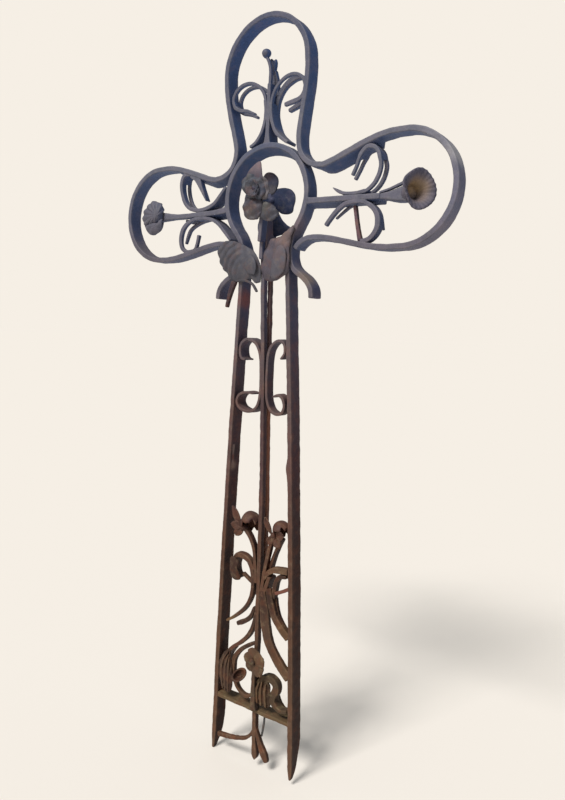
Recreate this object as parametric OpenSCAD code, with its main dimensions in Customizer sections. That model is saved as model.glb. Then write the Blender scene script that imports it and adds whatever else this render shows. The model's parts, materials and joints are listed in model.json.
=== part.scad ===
// Wrought iron grave cross of flat bar, with forged scrolls, leaves and flowers.
// Millimetres. +Z is up, +Y points to the back, and the origin is on the ground line between the legs.

/* [Bars] */
// Depth of the main bars, front to back
bar_d = 27; // [22:1:32]
// Thickness of the main bars, seen from the front
bar_t = 9; // [7:0.5:10]
// Depth of each prong where a scroll is split in two
prong_d = 6; // [4:0.5:8]

/* [Crossing] */
// Height of the side arms' centre line over the ground line
arm_z = 965; // [950:1:980]
// Reach of the side lobes from the axis
side_reach = 333; // [315:1:350]
// Reach of the top lobe over the arms' centre line
top_reach = 302; // [290:1:315]
// Radius of the round end of each lobe
lobe_r = 84; // [78:1:90]
// Lean of the top lobe to the left, in degrees
top_lean = 3.2; // [0:0.1:5]
// Radius of the ring
ring_r = 83; // [80:1:85]
// Height of the ring's centre over the ground line
ring_z = 976; // [972:1:980]

/* [Shaft] */
// Distance of each leg from the axis at the neck
leg_top_x = 47; // [44:1:50]
// Distance of each leg from the axis at the ground line
leg_foot_x = 86; // [80:1:92]
// Height of the bottom rail's underside
rail_z = 71; // [60:1:80]
// Thickness of the bottom rail
rail_t = 7; // [6:0.5:10]
// Length of the points below the ground line
point_len = 33; // [25:1:40]

/* [Hidden] */
$fn = 40;
front_y = -bar_d / 2;
back_y = bar_d / 2;
arc_step = 12;
upper = "#3c4457";
middle = "#4a3f45";
lower = "#5a4336";
khaki = "#6e6049";
rust = "#7c4a30";

// ---------- Curves ----------

// Point at u, from 0 to 1, on the smooth span from b to c, with neighbours a and d
function span(a, b, c, d, u) =
  0.5 * (2 * b + (c - a) * u + (2 * a - 5 * b + 4 * c - d) * u * u + (3 * b - a - 3 * c + d) * u * u * u);

// Smooth curve through the points p, with n steps in each span
function smooth(p, n = 4) = [
  for (i = [0 : len(p) - 2])
    for (k = [0 : n - 1])
      span(p[max(i - 1, 0)], p[i], p[i + 1], p[min(i + 2, len(p) - 1)], k / n),
  p[len(p) - 1]
];

// Points of an arc about c from angle a0 to angle a1
function arc(c, r, a0, a1) =
  let (n = ceil(abs(a1 - a0) / arc_step))
    [for (k = [0 : n]) c + r * [cos(a0 + (a1 - a0) * k / n), sin(a0 + (a1 - a0) * k / n)]];

function reversed(p) = [for (i = [len(p) - 1 : -1 : 0]) p[i]];
function mirrored(p) = [for (q = p) [-q[0], q[1]]];
function turned(p, c, a) =
  [for (q = p) c + [(q - c)[0] * cos(a) - (q - c)[1] * sin(a), (q - c)[0] * sin(a) + (q - c)[1] * cos(a)]];
function heading(p, i) =
  let (v = p[min(i + 1, len(p) - 1)] - p[max(i - 1, 0)])
    v / norm(v);

// Width table: one number for an even bar, or [[fraction, width], ...] along its length
function widths(w) = is_num(w) ? [[0, w], [1, w]] : w;

// Edge of a bar on centre line p: side 1 is its left edge and side -1 its right edge
function edge(p, w, side) = [
  for (i = [0 : len(p) - 1])
    let (h = heading(p, i), half = lookup(i / (len(p) - 1), widths(w)) / 2)
      p[i] + side * half * [-h[1], h[0]]
];

// ---------- Forms ----------

// Flat shape in the XZ plane, from y0 back to y1
module plate(points, y0, y1) {
  translate([0, y1, 0])
    rotate([90, 0, 0])
      linear_extrude(height = y1 - y0)
        polygon(points);
}

// Flat bar on edge along centre line p
module bar(p, w, y0, y1) {
  plate(concat(edge(p, w, 1), reversed(edge(p, w, -1))), y0, y1);
}

// Full-depth strap through a few points
module strap(points, w) {
  bar(smooth(points), w, front_y, back_y);
}

// Strap whose end is split lengthwise into a front and a rear prong
module split_scroll(body, prong, w_body, w_prong) {
  strap(body, w_body);
  inset = 0.4;
  bar(smooth(prong), w_prong, front_y + inset, front_y + prong_d);
  bar(smooth(prong), w_prong, back_y - prong_d, back_y - inset);
}

// Petal outline along +X: round tip, narrow foot
function petal_outline(length, width) = [
  for (a = [-168 : 24 : 168])
    [length * (0.5 + 0.5 * cos(a)), width / 2 * sin(a) * (0.75 + 0.35 * cos(a))]
];

// Petals [angle, length, width] about +Z, each tilted up by lift degrees, round a domed boss
module blossom(petals, lift, thickness, boss_r) {
  union() {
    for (p = petals)
      rotate([0, 0, p[0]])
        rotate([0, -lift, 0])
          linear_extrude(height = thickness)
            polygon(petal_outline(p[1], p[2]));
    sphere(r = boss_r);
  }
}

// Even ring of petals
function petal_ring(count, length, width, start = 90) =
  [for (k = [0 : count - 1]) [start + 360 * k / count, length, width]];

// Leaf in the XZ plane, bent round a cylinder that lies along X: its middle is at y = 0
module bent_leaf(points, thickness, bend_r, bend_z) {
  intersection() {
    plate(points, -bend_r, bend_r);
    translate([0, bend_r, bend_z])
      rotate([0, 90, 0])
        difference() {
          cylinder(r = bend_r, h = 400, center = true);
          cylinder(r = bend_r - thickness, h = 401, center = true);
        }
  }
}

// Hollow trumpet along +Z, from its foot to the flared mouth
module trumpet(foot_r, mouth_r, length, wall) {
  outer = [for (u = [0 : 0.125 : 1]) [foot_r + (mouth_r - foot_r) * pow(u, 1.8), length * u]];
  inner = [for (u = [1 : -0.125 : 0.25]) [foot_r + (mouth_r - foot_r) * pow(u, 1.8) - wall, length * u]];
  rotate_extrude()
    polygon(concat([[0, 0]], outer, inner, [[0, length * 0.2]]));
}

// ---------- Outline of the cross ----------

// Flank of a lobe from the waist at [a, b] out to the full half width at a_end
function flank(a, b, a_end, r, power) =
  [for (u = [0 : 0.125 : 0.95]) [a + (a_end - a) * u, b + (r - b) * pow(sin(90 * u), power)]];

side_tip = arc([side_reach - lobe_r, 0], lobe_r, 84, -84);
side_top = flank(110, 50, side_reach - lobe_r - 9, lobe_r, 1.4);
side_bottom = flank(100, 61.5, side_reach - lobe_r - 9, lobe_r, 1.6);
bar_end = [[64, -78], [69, -71.5], [78, -65.5], [88, -62]];
right_side = concat(
  bar_end,
  [for (q = side_bottom) [q[0], -q[1]]],
  reversed(side_tip),
  reversed(side_top)
);
crotch_r = 41;
crotch = arc([106, 92], crotch_r, -88, -176);
top_waist = 97;
top_half = turned(
  concat(
    [for (q = flank(top_waist, 64.5, top_reach - lobe_r - 4, lobe_r - 0.5, 1.4)) [q[1], q[0]]],
    arc([0, top_reach - lobe_r], lobe_r - 0.5, 6, 90)
  ),
  [0, top_waist], top_lean
);
top_left_half = turned(
  concat(
    arc([0, top_reach - lobe_r], lobe_r - 0.5, 102, 174),
    reversed([for (q = flank(top_waist, 64.5, top_reach - lobe_r - 4, lobe_r - 0.5, 1.4)) [-q[1], q[0]]])
  ),
  [0, top_waist], top_lean
);
trefoil_line = concat(
  right_side, crotch, top_half, top_left_half, reversed(mirrored(crotch)), reversed(mirrored(right_side))
);

module trefoil_outline() {
  color(upper)
    translate([0, 0, arm_z])
      bar(trefoil_line, bar_t, front_y, back_y);
}

ring_open = 36;
left_neck = [[-54, 910], [-46.5, 893], [-43, 878], [-46, 864], [-55, 853], [-67, 846], [-80, 840], [-91, 831],
             [-98, 820], [-100, 807]];
right_neck = [[58.5, 910], [55, 893], [54, 878], [57, 864], [63, 854], [72, 847], [82, 840], [91, 831],
              [97, 820], [98, 807]];
ring_foot = [ring_r * cos(ring_open), ring_z - ring_r * sin(ring_open)];
ring_line = concat(
  reversed(smooth(concat([[-ring_foot[0], ring_foot[1]]], left_neck), 3)),
  reversed(arc([0, ring_z], ring_r, -ring_open + arc_step, 180 + ring_open - arc_step)),
  smooth(concat([ring_foot], right_neck), 3)
);

module keyhole_ring() {
  color(upper)
    bar(ring_line, bar_t, front_y, back_y);
}

// ---------- Legs and rail ----------

leg_top_z = 858;
leg_bow = 3.5;
leg_line = [
  for (u = [0 : 0.1 : 1])
    [leg_top_x + (leg_foot_x - leg_top_x) * u + 4 * leg_bow * u * (1 - u), leg_top_z * (1 - u)]
];

// Leg with its point: the bar thins to the tip, and its back is cut away towards the front
module leg(side, shift, tip_z, tip_back, cut_z, extra_t) {
  line = concat([[leg_top_x, leg_top_z + 14]], leg_line, [[leg_foot_x + 1, tip_z]]);
  cut = [[front_y, leg_top_z + 20], [back_y, leg_top_z + 20], [back_y, cut_z],
         [tip_back, tip_z - 1], [front_y, tip_z - 1]];
  intersection() {
    bar([for (q = line) [shift + side * q[0], q[1]]],
        [[0, 7.5 + extra_t], [0.25, 8 + extra_t], [0.6, 9 + extra_t], [0.9, 9.5 + extra_t], [1, 5]], front_y, back_y);
    rotate([90, 0, 90])
      translate([0, 0, -200])
        linear_extrude(height = 400)
          polygon(cut);
  }
}

module left_leg() {
  color(middle)
    leg(-1, 0.5, -point_len, -6, 10, 0.5);
}

module right_leg() {
  color(middle)
    leg(1, 3, -point_len + 10, -6, 40, 1);
}

module bottom_rail() {
  color(khaki)
    union() {
      translate([-leg_foot_x + 4, front_y, rail_z])
        cube([2 * leg_foot_x - 6, bar_d, rail_t]);
      bar([[-85, 73], [-78, 76], [-62, 76]], [[0, 12], [0.5, 9], [1, 5]], front_y + 1, back_y - 2);
    }
}

// ---------- Stems of the shaft ----------

stem_line = [[-1, 874], [0, 800], [4, 700], [6.5, 600], [8.5, 500], [9, 400], [8, 250], [7.5, 100], [8.5, 10], [11, -18]];

module centre_stem() {
  color(middle)
    bar(smooth(stem_line), [[0, 7], [0.1, 8], [0.9, 9], [0.96, 12], [1, 4]], front_y + 1, front_y + 12);
}

module rear_stem() {
  color(rust)
    bar(smooth([[2, 874], [3, 780], [5, 620], [7, 520], [9, 440], [8, 330], [7, 230]]), [[0, 7], [1, 6]],
        back_y - 11, back_y - 2);
}

// ---------- Top arm ----------

module top_stem() {
  color(upper)
    union() {
      bar(smooth([[0, 1058], [0.5, 1080], [1, 1120], [2, 1158]]), [[0, 20], [0.15, 12], [0.4, 7], [1, 6]],
          front_y, back_y);
      bar(smooth([[2, 1150], [3, 1175], [0, 1190], [-6, 1202]]), [[0, 6], [1, 3.5]], front_y + 1, front_y + 7);
      translate([-7, front_y + 4, 1207])
        sphere(r = 8.5);
      bar(smooth([[2, 1150], [2, 1170], [0, 1182]]), [[0, 6], [1, 5]], back_y - 9, back_y - 3);
      translate([-1, back_y - 6, 1178])
        cylinder(r1 = 3.5, r2 = 8, h = 19);
    }
}

module top_left_scroll() {
  color(upper)
    split_scroll(
      [[-36, 1061], [-24, 1067], [-13, 1080], [-6, 1097], [-4, 1116], [-6, 1136], [-14, 1151]],
      [[-6, 1134], [-14, 1150], [-26, 1161], [-42, 1166], [-58, 1164], [-70, 1156], [-74, 1144], [-69, 1132],
       [-58, 1126], [-42, 1121], [-25, 1114]],
      [[0, 5], [0.5, 6], [1, 5]], [[0, 4.5], [0.6, 4.5], [0.9, 4], [1, 2]]);
}

module top_right_scroll() {
  color(upper)
    split_scroll(
      [[42, 1058], [29, 1067], [16, 1080], [9, 1097], [6, 1116], [8, 1136], [17, 1151]],
      [[8, 1134], [17, 1150], [32, 1161], [48, 1165], [61, 1161], [69, 1150], [69, 1136], [62, 1125],
       [48, 1121], [34, 1119]],
      [[0, 5], [0.5, 6], [1, 5]], [[0, 4.5], [0.6, 4.5], [0.9, 4], [1, 3]]);
}

// ---------- Left arm ----------

module left_arm_stem() {
  color(upper)
    union() {
      bar(smooth([[-84, 963], [-95, 960], [-130, 958.5], [-170, 958.5]]), [[0, 22], [0.15, 10], [0.5, 8], [1, 7.5]],
          front_y, back_y);
      bar(smooth([[-165, 958.5], [-200, 959], [-228, 960], [-256, 961]]), [[0, 7.5], [0.6, 10], [1, 16]], -8, 5);
    }
}

module left_trumpet() {
  color(upper)
    translate([-248, -2, 961])
      rotate([0, -82, -20])
        trumpet(8, 28, 42, 3);
}

module left_upper_scroll() {
  color(upper)
    split_scroll(
      [[-88, 1000], [-100, 988], [-114, 975], [-132, 968], [-152, 966], [-170, 970]],
      [[-152, 966], [-170, 969], [-184, 980], [-192, 996], [-194, 1013], [-188, 1027], [-174, 1031], [-160, 1022],
       [-149, 1003], [-132, 981]],
      [[0, 5], [0.5, 6], [1, 6]], [[0, 5], [0.4, 7], [0.75, 7], [0.88, 9], [1, 1.5]]);
}

module left_lower_scroll() {
  color(upper)
    split_scroll(
      [[-74, 908], [-88, 923], [-102, 937], [-118, 946.5], [-138, 951], [-160, 951]],
      [[-138, 951], [-160, 951], [-178, 945], [-189, 934], [-193, 918], [-189, 902], [-178, 894.5], [-164, 897],
       [-155, 906], [-149, 921]],
      [[0, 4.5], [0.5, 6], [1, 6]], [[0, 5], [0.4, 7], [0.8, 6], [1, 5]]);
}

// ---------- Right arm ----------

module right_arm_stem() {
  color(upper)
    union() {
      bar(smooth([[84, 962], [100, 961], [150, 959.5], [215, 957]]), [[0, 14], [0.15, 8.5], [1, 8]], front_y, back_y);
      bar(smooth([[205, 957], [224, 956.5], [240, 956], [258, 957]]), [[0, 9], [0.3, 11], [0.7, 20], [1, 26]], -12, 6);
    }
}

module right_trumpet() {
  color(upper)
    translate([256, -4, 957])
      rotate([0, 86, -30])
        trumpet(11, 30, 31, 3);
}

module right_upper_scroll() {
  color(upper)
    split_scroll(
      [[133, 976], [143, 970], [157, 966.5], [174, 965.5], [190, 967.5]],
      [[174, 965.5], [190, 967], [203, 976], [211, 989], [214, 1004], [211, 1019], [202, 1032], [190, 1033],
       [179, 1023], [173, 1008], [167, 993]],
      [[0, 1.5], [0.3, 5], [1, 5.5]], [[0, 5], [0.4, 5], [0.9, 5], [1, 4]]);
}

module right_lower_scroll() {
  color(upper)
    union() {
      bar(smooth([[121, 920], [131, 932], [142, 943], [156, 951], [174, 953]]), [[0, 5.5], [1, 5]],
          front_y + 0.4, front_y + prong_d);
      bar(smooth([[128, 935], [142, 943], [156, 951], [174, 953]]), [[0, 4], [1, 5]],
          back_y - prong_d, back_y - 0.4);
      strap([[160, 952], [176, 953], [192, 950]], 6);
      bar(smooth([[180, 952.5], [192, 949], [205, 940], [212, 928], [213, 914], [207, 902], [197, 894]]),
          [[0, 6], [0.5, 7.5], [1, 7]], front_y + 0.4, 4);
      bar(smooth([[180, 952.5], [192, 949], [204, 940], [210, 926], [212, 912]]), [[0, 5], [1, 3]],
          back_y - prong_d, back_y - 0.4);
    }
}

module right_arm_strut() {
  color(rust)
    bar(smooth([[168, 948], [172, 925], [178, 898]]), 4, -5, 3);
}

// ---------- Ring and neck ----------

flower_y = [-32, 30];

front_spear = [[-26, 1000], [-24, 1010], [-14, 1020], [1, 1029], [6, 1019], [8, 1007], [9, 996], [-8, 992]];
front_upper = [
  [-27, 1006], [-31, 998], [-29, 987], [-23, 976], [-14, 971], [0, 967], [12, 967], [17, 975], [15, 988],
  [9, 999], [-5, 1007], [-19, 1010]
];
front_left = [
  [-22, 968], [-26, 958], [-26, 947], [-22, 939], [-10, 935], [3, 936], [9, 942], [11, 954], [7, 966], [-8, 970]
];
front_low = [
  [4, 960], [1, 948], [6, 938], [18, 932], [32, 932], [40, 939], [39, 947], [30, 955], [21, 961], [11, 963]
];

module front_flower() {
  color(middle)
    union() {
      plate(smooth(front_spear, 2), flower_y[0] - 1, flower_y[0] + 3);
      plate(smooth(front_upper, 2), flower_y[0] - 7, flower_y[0]);
      plate(smooth(front_left, 2), flower_y[0] - 5, flower_y[0] + 1);
      plate(smooth(front_low, 2), flower_y[0] - 2, flower_y[0] + 4);
      translate([-3, flower_y[0], 986])
        sphere(r = 10);
      bar(smooth([[1, 872], [1, 905], [3, 940], [5, 972]]), [[0, 7], [1, 8]], flower_y[0] - 2, front_y + 3);
      bar(smooth([[3, 872], [4, 910], [3, 945]]), [[0, 6], [1, 8]], front_y, 4);
    }
}

rear_top = [
  [-35, 1003], [-35, 1015], [-31, 1023], [-23, 1026], [-12, 1023], [-4, 1016], [-1, 1008], [-3, 1000], [-12, 988],
  [-28, 989]
];
rear_right = [
  [-21, 991], [-13, 996], [3, 997], [14, 996], [25, 992], [32, 984], [34, 974], [31, 963], [29, 955], [20, 952],
  [6, 954], [-4, 961], [-15, 973], [-21, 982]
];
rear_low = [
  [-38, 950], [-42, 938], [-40, 925], [-30, 917], [-12, 914], [8, 917], [22, 920], [30, 927], [21, 933],
  [10, 943], [0, 956], [-18, 960]
];
rear_left = [[-16, 990], [-34, 992], [-44, 984], [-46, 972], [-38, 962], [-24, 960], [-8, 966]];

module rear_flower() {
  color(upper)
    union() {
      plate(smooth(rear_top, 2), flower_y[1] - 4, flower_y[1]);
      plate(smooth(rear_right, 2), flower_y[1] - 3, flower_y[1] + 1);
      plate(smooth(rear_low, 2), flower_y[1] - 6, flower_y[1] - 2);
      plate(smooth(rear_left, 2), flower_y[1] - 5, flower_y[1] - 1);
      translate([-14, flower_y[1], 977])
        sphere(r = 9);
      bar(smooth([[-4, 872], [-8, 905], [-11, 940], [-14, 972]]), [[0, 8], [1, 7]], 6, flower_y[1] + 2);
    }
}

left_leaf = [
  [-3, 834], [-2, 856], [-6, 870], [-18, 886], [-31, 894], [-46, 900], [-63, 906], [-80, 905], [-89, 899],
  [-92, 889], [-90, 876], [-82, 862], [-72, 851], [-64, 840], [-50, 835], [-34, 837], [-20, 840], [-10, 832]
];

module left_neck_leaf() {
  color(middle)
    translate([7, front_y - 9, 0])
      bent_leaf(smooth(left_leaf, 2), 4, 60, 866);
}

right_leaf = [
  [0, 842], [-2, 856], [-4, 872], [2, 884], [9, 895], [16, 904], [28, 906], [40, 908], [52, 915], [63, 924],
  [65, 915], [58, 904], [54, 890], [53, 874], [52, 854], [42, 840], [26, 835], [10, 836]
];

module right_neck_leaf() {
  color(middle)
    translate([8, front_y - 9, 0])
      bent_leaf(smooth(right_leaf, 2), 4, 70, 872);
}

module neck_tendril() {
  color(rust)
    bar(smooth([[-56, 836], [-64, 818], [-72, 792]]), [[0, 10], [0.5, 8], [1, 4]], front_y - 9, front_y - 1);
}

// ---------- Lyre scrolls ----------

module left_lyre() {
  color(middle)
    strap(
      [[-34, 702], [-42, 704], [-46, 714], [-45, 727], [-36, 736], [-24, 737], [-10, 729], [-2, 713], [1, 690],
       [1.5, 665], [0, 640], [-6, 622], [-18, 613], [-32, 612], [-46, 618], [-51, 629], [-45, 640], [-31, 645],
       [-16, 643]],
      [[0, 3], [0.1, 5], [0.9, 5], [1, 3]]);
}

module right_lyre() {
  color(middle)
    strap(
      [[42, 706], [50, 716], [49, 730], [40, 737], [28, 733], [19, 722], [15, 705], [14, 680], [14, 655],
       [16, 634], [23, 619], [35, 612], [47, 615], [52, 627], [48, 640], [38, 645], [28, 641]],
      [[0, 3], [0.1, 5], [0.9, 5], [1, 3]]);
}

// ---------- Flower pair of the shaft ----------

module left_shaft_flower() {
  color(lower)
    union() {
      translate([-27, -6, 411])
        rotate([74, 0, 14])
          blossom([[20, 34, 30], [88, 24, 24], [140, 42, 17], [205, 32, 24], [300, 26, 24]], 14, 3, 7);
      bar(smooth([[-20, 404], [-10, 391], [-3, 371], [1, 344], [4, 309]]), [[0, 6], [1, 7]], front_y, front_y + 12);
    }
}

module right_shaft_flower() {
  color(lower)
    union() {
      translate([42, -6, 412])
        rotate([74, 0, -10])
          blossom([[20, 28, 24], [80, 24, 22], [150, 24, 20], [215, 20, 20], [320, 30, 24]], 14, 3, 7);
      bar(smooth([[41, 403], [33, 386], [28, 363], [23, 333], [18, 298]]), [[0, 6], [1, 7]], front_y, front_y + 10);
      bar(smooth([[49, 398], [43, 383], [35, 360], [28, 333], [21, 298]]), [[0, 5], [1, 6]], front_y + 8, back_y - 4);
    }
}

// ---------- Lower scrolls ----------

module left_tendril() {
  color(lower)
    union() {
      bar(smooth([[-47, 343], [-42, 350], [-31, 352], [-18, 348], [-9, 340], [-5, 330]]), [[0, 8], [0.5, 10], [1, 8]],
          front_y, -1);
      bar(smooth([[-14, 344], [-7, 332], [-4, 315], [-4, 297], [-9, 277], [-19, 259], [-32, 245], [-48, 232],
                  [-62, 223]]),
          [[0, 8], [0.3, 7], [0.8, 7], [1, 4]], front_y, -2);
      bar(smooth([[-14, 344], [-8, 332], [-6, 315], [-7, 297], [-12, 279]]), [[0, 7], [1, 4]], -3, back_y - 1);
      bar(smooth([[-44, 345], [-46, 326], [-40, 309]]), [[0, 10], [0.5, 15], [1, 12]], front_y, front_y + 5);
      bar(smooth([[-46, 344], [-50, 328], [-47, 313], [-38, 308]]), [[0, 7], [1, 6]], front_y + 1, back_y - 2);
      bar(smooth([[-4, 300], [-16, 306], [-34, 316]]), [[0, 5], [1, 6]], -4, 4);
    }
}

module right_tendril() {
  color(lower)
    union() {
      bar(smooth([[20, 320], [30, 334], [42, 341], [56, 343], [70, 344]]), [[0, 7], [0.5, 11], [1, 11]],
          front_y + 1, front_y + 12);
      bar(smooth([[66, 333], [53, 331], [45, 320], [42, 304], [40, 289]]), [[0, 7], [0.6, 9], [1, 8]],
          front_y + 3, front_y + 14);
      bar(smooth([[31, 306], [37, 280], [45, 259], [59, 242], [76, 228]]), [[0, 12], [0.3, 14], [0.7, 14], [1, 15]],
          front_y, front_y + 9);
      bar(smooth([[45, 300], [58, 306], [74, 315]]), 6, front_y + 2, front_y + 7);
      bar(smooth([[17, 288], [25, 304], [33, 322], [33, 334]]), [[0, 8], [1, 7]], front_y, back_y - 6);
    }
}

module left_strap() {
  color(lower)
    union() {
      bar(smooth([[6, 263], [3, 245], [-4, 222], [-15, 204], [-31, 188], [-46, 176], [-57, 163], [-65, 146],
                  [-67, 128], [-62, 104]]),
          [[0, 5], [0.3, 7.5], [0.7, 7], [1, 6]], front_y, -1);
      bar(smooth([[-50, 170], [-62, 152], [-66, 130], [-62, 106]]), [[0, 5], [1, 6]], -3, back_y - 2);
      bar(smooth([[5, 262], [-7, 246], [-20, 233], [-38, 223]]), [[0, 5], [0.4, 8], [0.8, 9], [1, 7]],
          front_y + 2, front_y + 11);
    }
}

module right_strap() {
  color(lower)
    bar(smooth([[17, 300], [23, 268], [27, 236], [34, 212], [47, 190], [63, 172], [80, 157]]),
        [[0, 12], [0.2, 20], [0.5, 18], [1, 18]], front_y, front_y + 9);
}

// ---------- Foot ----------

module rosette() {
  color(khaki)
    union() {
      translate([9, front_y - 6, 170])
        rotate([90, 0, 0])
          blossom([[92, 24, 25], [24, 30, 27], [312, 29, 26], [240, 22, 24], [166, 20, 24]], 6, 3, 8);
      bar(smooth([[10, 164], [9, 130], [9, 104], [9, 79]]), [[0, 6], [0.5, 9], [0.8, 11], [1, 16]],
          front_y - 8, front_y + 4);
    }
}

module cup_bud_scroll() {
  color(lower)
    union() {
      bar(smooth([[6, 200], [-10, 190], [-26, 178], [-38, 163], [-43, 147], [-42, 126], [-34, 106], [-21, 95],
                  [-8, 95], [1, 104]]),
          [[0, 6], [0.3, 8.5], [0.6, 8], [0.8, 7], [1, 5]], front_y, front_y + 10);
      translate([-26, -6, 127])
        rotate([65, 0, 18])
          trumpet(5, 15, 13, 2.5);
      bar(smooth([[-41, 122], [-32, 124], [-24, 127]]), 5, -14, -6);
    }
}

left_foot_outline = [
  [-52, 168], [-64, 160], [-72, 144], [-74, 126], [-68, 108], [-56, 96], [-44, 98], [-40, 112], [-42, 134], [-46, 152]
];

module left_foot_leaf() {
  color(lower)
    translate([0, front_y - 6, 0])
      bent_leaf(smooth(left_foot_outline, 2), 4, 60, 132);
}

module right_foot_leaf() {
  color(khaki)
    union() {
      bar(smooth([[15, 124], [20, 135], [30, 142], [43, 143], [53, 136], [52, 125], [47, 115], [46, 106], [52, 97],
                  [62, 92], [77, 97]]),
          [[0, 7], [0.3, 10], [0.5, 11], [0.7, 9], [1, 5]], front_y, 1);
      bar(smooth([[46, 108], [52, 95], [62, 87], [79, 90]]), [[0, 6], [0.6, 8], [1, 9]], front_y + 6, back_y - 3);
      translate([0, front_y - 2, 0])
        bent_leaf(smooth([[12, 98], [11, 114], [16, 128], [27, 136], [37, 134], [42, 122], [45, 108], [41, 96],
                          [26, 94]], 2), 4, 50, 114);
    }
}

module left_root() {
  color(rust)
    bar(smooth([[9, 40], [1, 26], [-11, 14], [-29, 7], [-47, 2], [-77, -3]]), [[0, 6], [0.4, 6], [1, 9]],
        front_y + 1, front_y + 8);
}

module right_root() {
  color(rust)
    bar(smooth([[9, 44], [17, 26], [26, 7], [37, -14]]), [[0, 6], [0.5, 10], [1, 14]], front_y + 1, front_y + 9);
}

module root_rod() {
  color(lower)
    bar(smooth([[26, 72], [24, 50], [20, 26]]), [[0, 3], [1, 3.5]], -5, -1.5);
}

trefoil_outline();
keyhole_ring();
left_leg();
right_leg();
bottom_rail();
centre_stem();
rear_stem();
top_stem();
top_left_scroll();
top_right_scroll();
left_arm_stem();
left_trumpet();
left_upper_scroll();
left_lower_scroll();
right_arm_stem();
right_trumpet();
right_upper_scroll();
right_lower_scroll();
right_arm_strut();
front_flower();
rear_flower();
left_neck_leaf();
right_neck_leaf();
neck_tendril();
left_lyre();
right_lyre();
left_shaft_flower();
right_shaft_flower();
left_tendril();
right_tendril();
left_strap();
right_strap();
rosette();
cup_bud_scroll();
left_foot_leaf();
right_foot_leaf();
left_root();
right_root();
root_rod();
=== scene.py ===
"""Wrought iron grave cross: forged bars, scrolls, leaves and flowers, with materials, light and camera.

Lengths are written in millimetres in the CAD's frame and become metres when a piece is made.
"""

import json
import math

import bpy
import numpy as np
from mathutils import Matrix, Vector


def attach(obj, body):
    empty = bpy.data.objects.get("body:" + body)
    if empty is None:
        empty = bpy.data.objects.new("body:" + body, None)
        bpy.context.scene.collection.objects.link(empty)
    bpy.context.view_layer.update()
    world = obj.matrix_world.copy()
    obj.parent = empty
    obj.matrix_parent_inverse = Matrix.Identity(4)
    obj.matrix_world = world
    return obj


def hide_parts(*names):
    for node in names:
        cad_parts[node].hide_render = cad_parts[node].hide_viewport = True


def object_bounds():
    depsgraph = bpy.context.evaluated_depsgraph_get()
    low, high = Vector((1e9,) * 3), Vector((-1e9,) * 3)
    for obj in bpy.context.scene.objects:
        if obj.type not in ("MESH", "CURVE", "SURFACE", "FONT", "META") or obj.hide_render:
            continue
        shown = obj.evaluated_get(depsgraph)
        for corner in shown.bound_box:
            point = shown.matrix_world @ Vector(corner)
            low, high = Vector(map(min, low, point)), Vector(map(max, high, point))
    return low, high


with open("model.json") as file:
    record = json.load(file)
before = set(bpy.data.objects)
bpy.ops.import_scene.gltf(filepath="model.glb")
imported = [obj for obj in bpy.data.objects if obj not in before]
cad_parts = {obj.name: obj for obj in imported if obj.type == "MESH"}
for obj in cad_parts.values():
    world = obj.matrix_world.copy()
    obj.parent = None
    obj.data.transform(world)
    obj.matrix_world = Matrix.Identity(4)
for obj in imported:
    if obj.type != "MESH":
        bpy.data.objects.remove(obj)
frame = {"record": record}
cad_low, cad_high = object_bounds()

# ---------- Driving dimensions, in millimetres ----------

BAR_D = 27.0
BAR_T = 9.0
PRONG_D = 6.0
FRONT = -BAR_D / 2
BACK = BAR_D / 2
ARM_Z = 965.0
SIDE_REACH = 333.0
TOP_REACH = 302.0
LOBE_R = 84.0
TOP_LEAN = 3.2
RING_R = 83.0
RING_Z = 976.0
LEG_TOP_X = 47.0
LEG_FOOT_X = 86.0
LEG_TOP_Z = 858.0
LEG_BOW = 3.5
RAIL_Z = 71.0
RAIL_T = 7.0
POINT_LEN = 33.0
INSET = 0.7  # straps stand this far inside the faces of the main bars
ARC_STEP = 5.0  # degrees
SWAY = 0.25  # how far a forged bar wanders from its line

LOW = np.array(cad_low) * 1000.0
HIGH = np.array(cad_high) * 1000.0

# ---------- Curves ----------


def smooth(points, n=8):
    """Catmull-Rom curve through the points, with n steps in each span."""
    p = np.asarray(points, float)
    out = []
    last = len(p) - 1
    for i in range(last):
        a, b, c, d = p[max(i - 1, 0)], p[i], p[i + 1], p[min(i + 2, last)]
        for k in range(n):
            u = k / n
            out.append(
                0.5
                * (
                    2 * b
                    + (c - a) * u
                    + (2 * a - 5 * b + 4 * c - d) * u * u
                    + (3 * b - a - 3 * c + d) * u**3
                )
            )
    out.append(p[-1])
    return np.array(out)


def arc(cx, cz, r, a0, a1):
    n = int(math.ceil(abs(a1 - a0) / ARC_STEP))
    a = np.radians(np.linspace(a0, a1, n + 1))
    return np.stack([cx + r * np.cos(a), cz + r * np.sin(a)], 1)


def mirrored(p):
    return np.asarray(p, float) * [-1, 1]


def turned(p, centre, angle):
    c, s = math.cos(math.radians(angle)), math.sin(math.radians(angle))
    q = np.asarray(p, float) - centre
    return np.stack([q[:, 0] * c - q[:, 1] * s, q[:, 0] * s + q[:, 1] * c], 1) + centre


def resample(p, step):
    """Even points along p, and each one's fraction of the point list."""
    gaps = np.linalg.norm(np.diff(p, axis=0), axis=1)
    keep = np.concatenate([[True], gaps > 1e-6])
    index = np.linspace(0, 1, len(p))[keep]
    p = p[keep]
    s = np.concatenate([[0], np.cumsum(np.linalg.norm(np.diff(p, axis=0), axis=1))])
    n = max(int(round(s[-1] / step)), 4)
    t = np.linspace(0, s[-1], n + 1)
    return np.stack([np.interp(t, s, p[:, k]) for k in range(p.shape[1])], 1), np.interp(t, s, index), t


def table(values, u):
    """Values given as one number or as [[fraction, value], ...], read at the fractions u."""
    if np.isscalar(values):
        return np.full(len(u), float(values))
    v = np.asarray(values, float)
    return np.interp(u, v[:, 0], v[:, 1])


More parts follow.
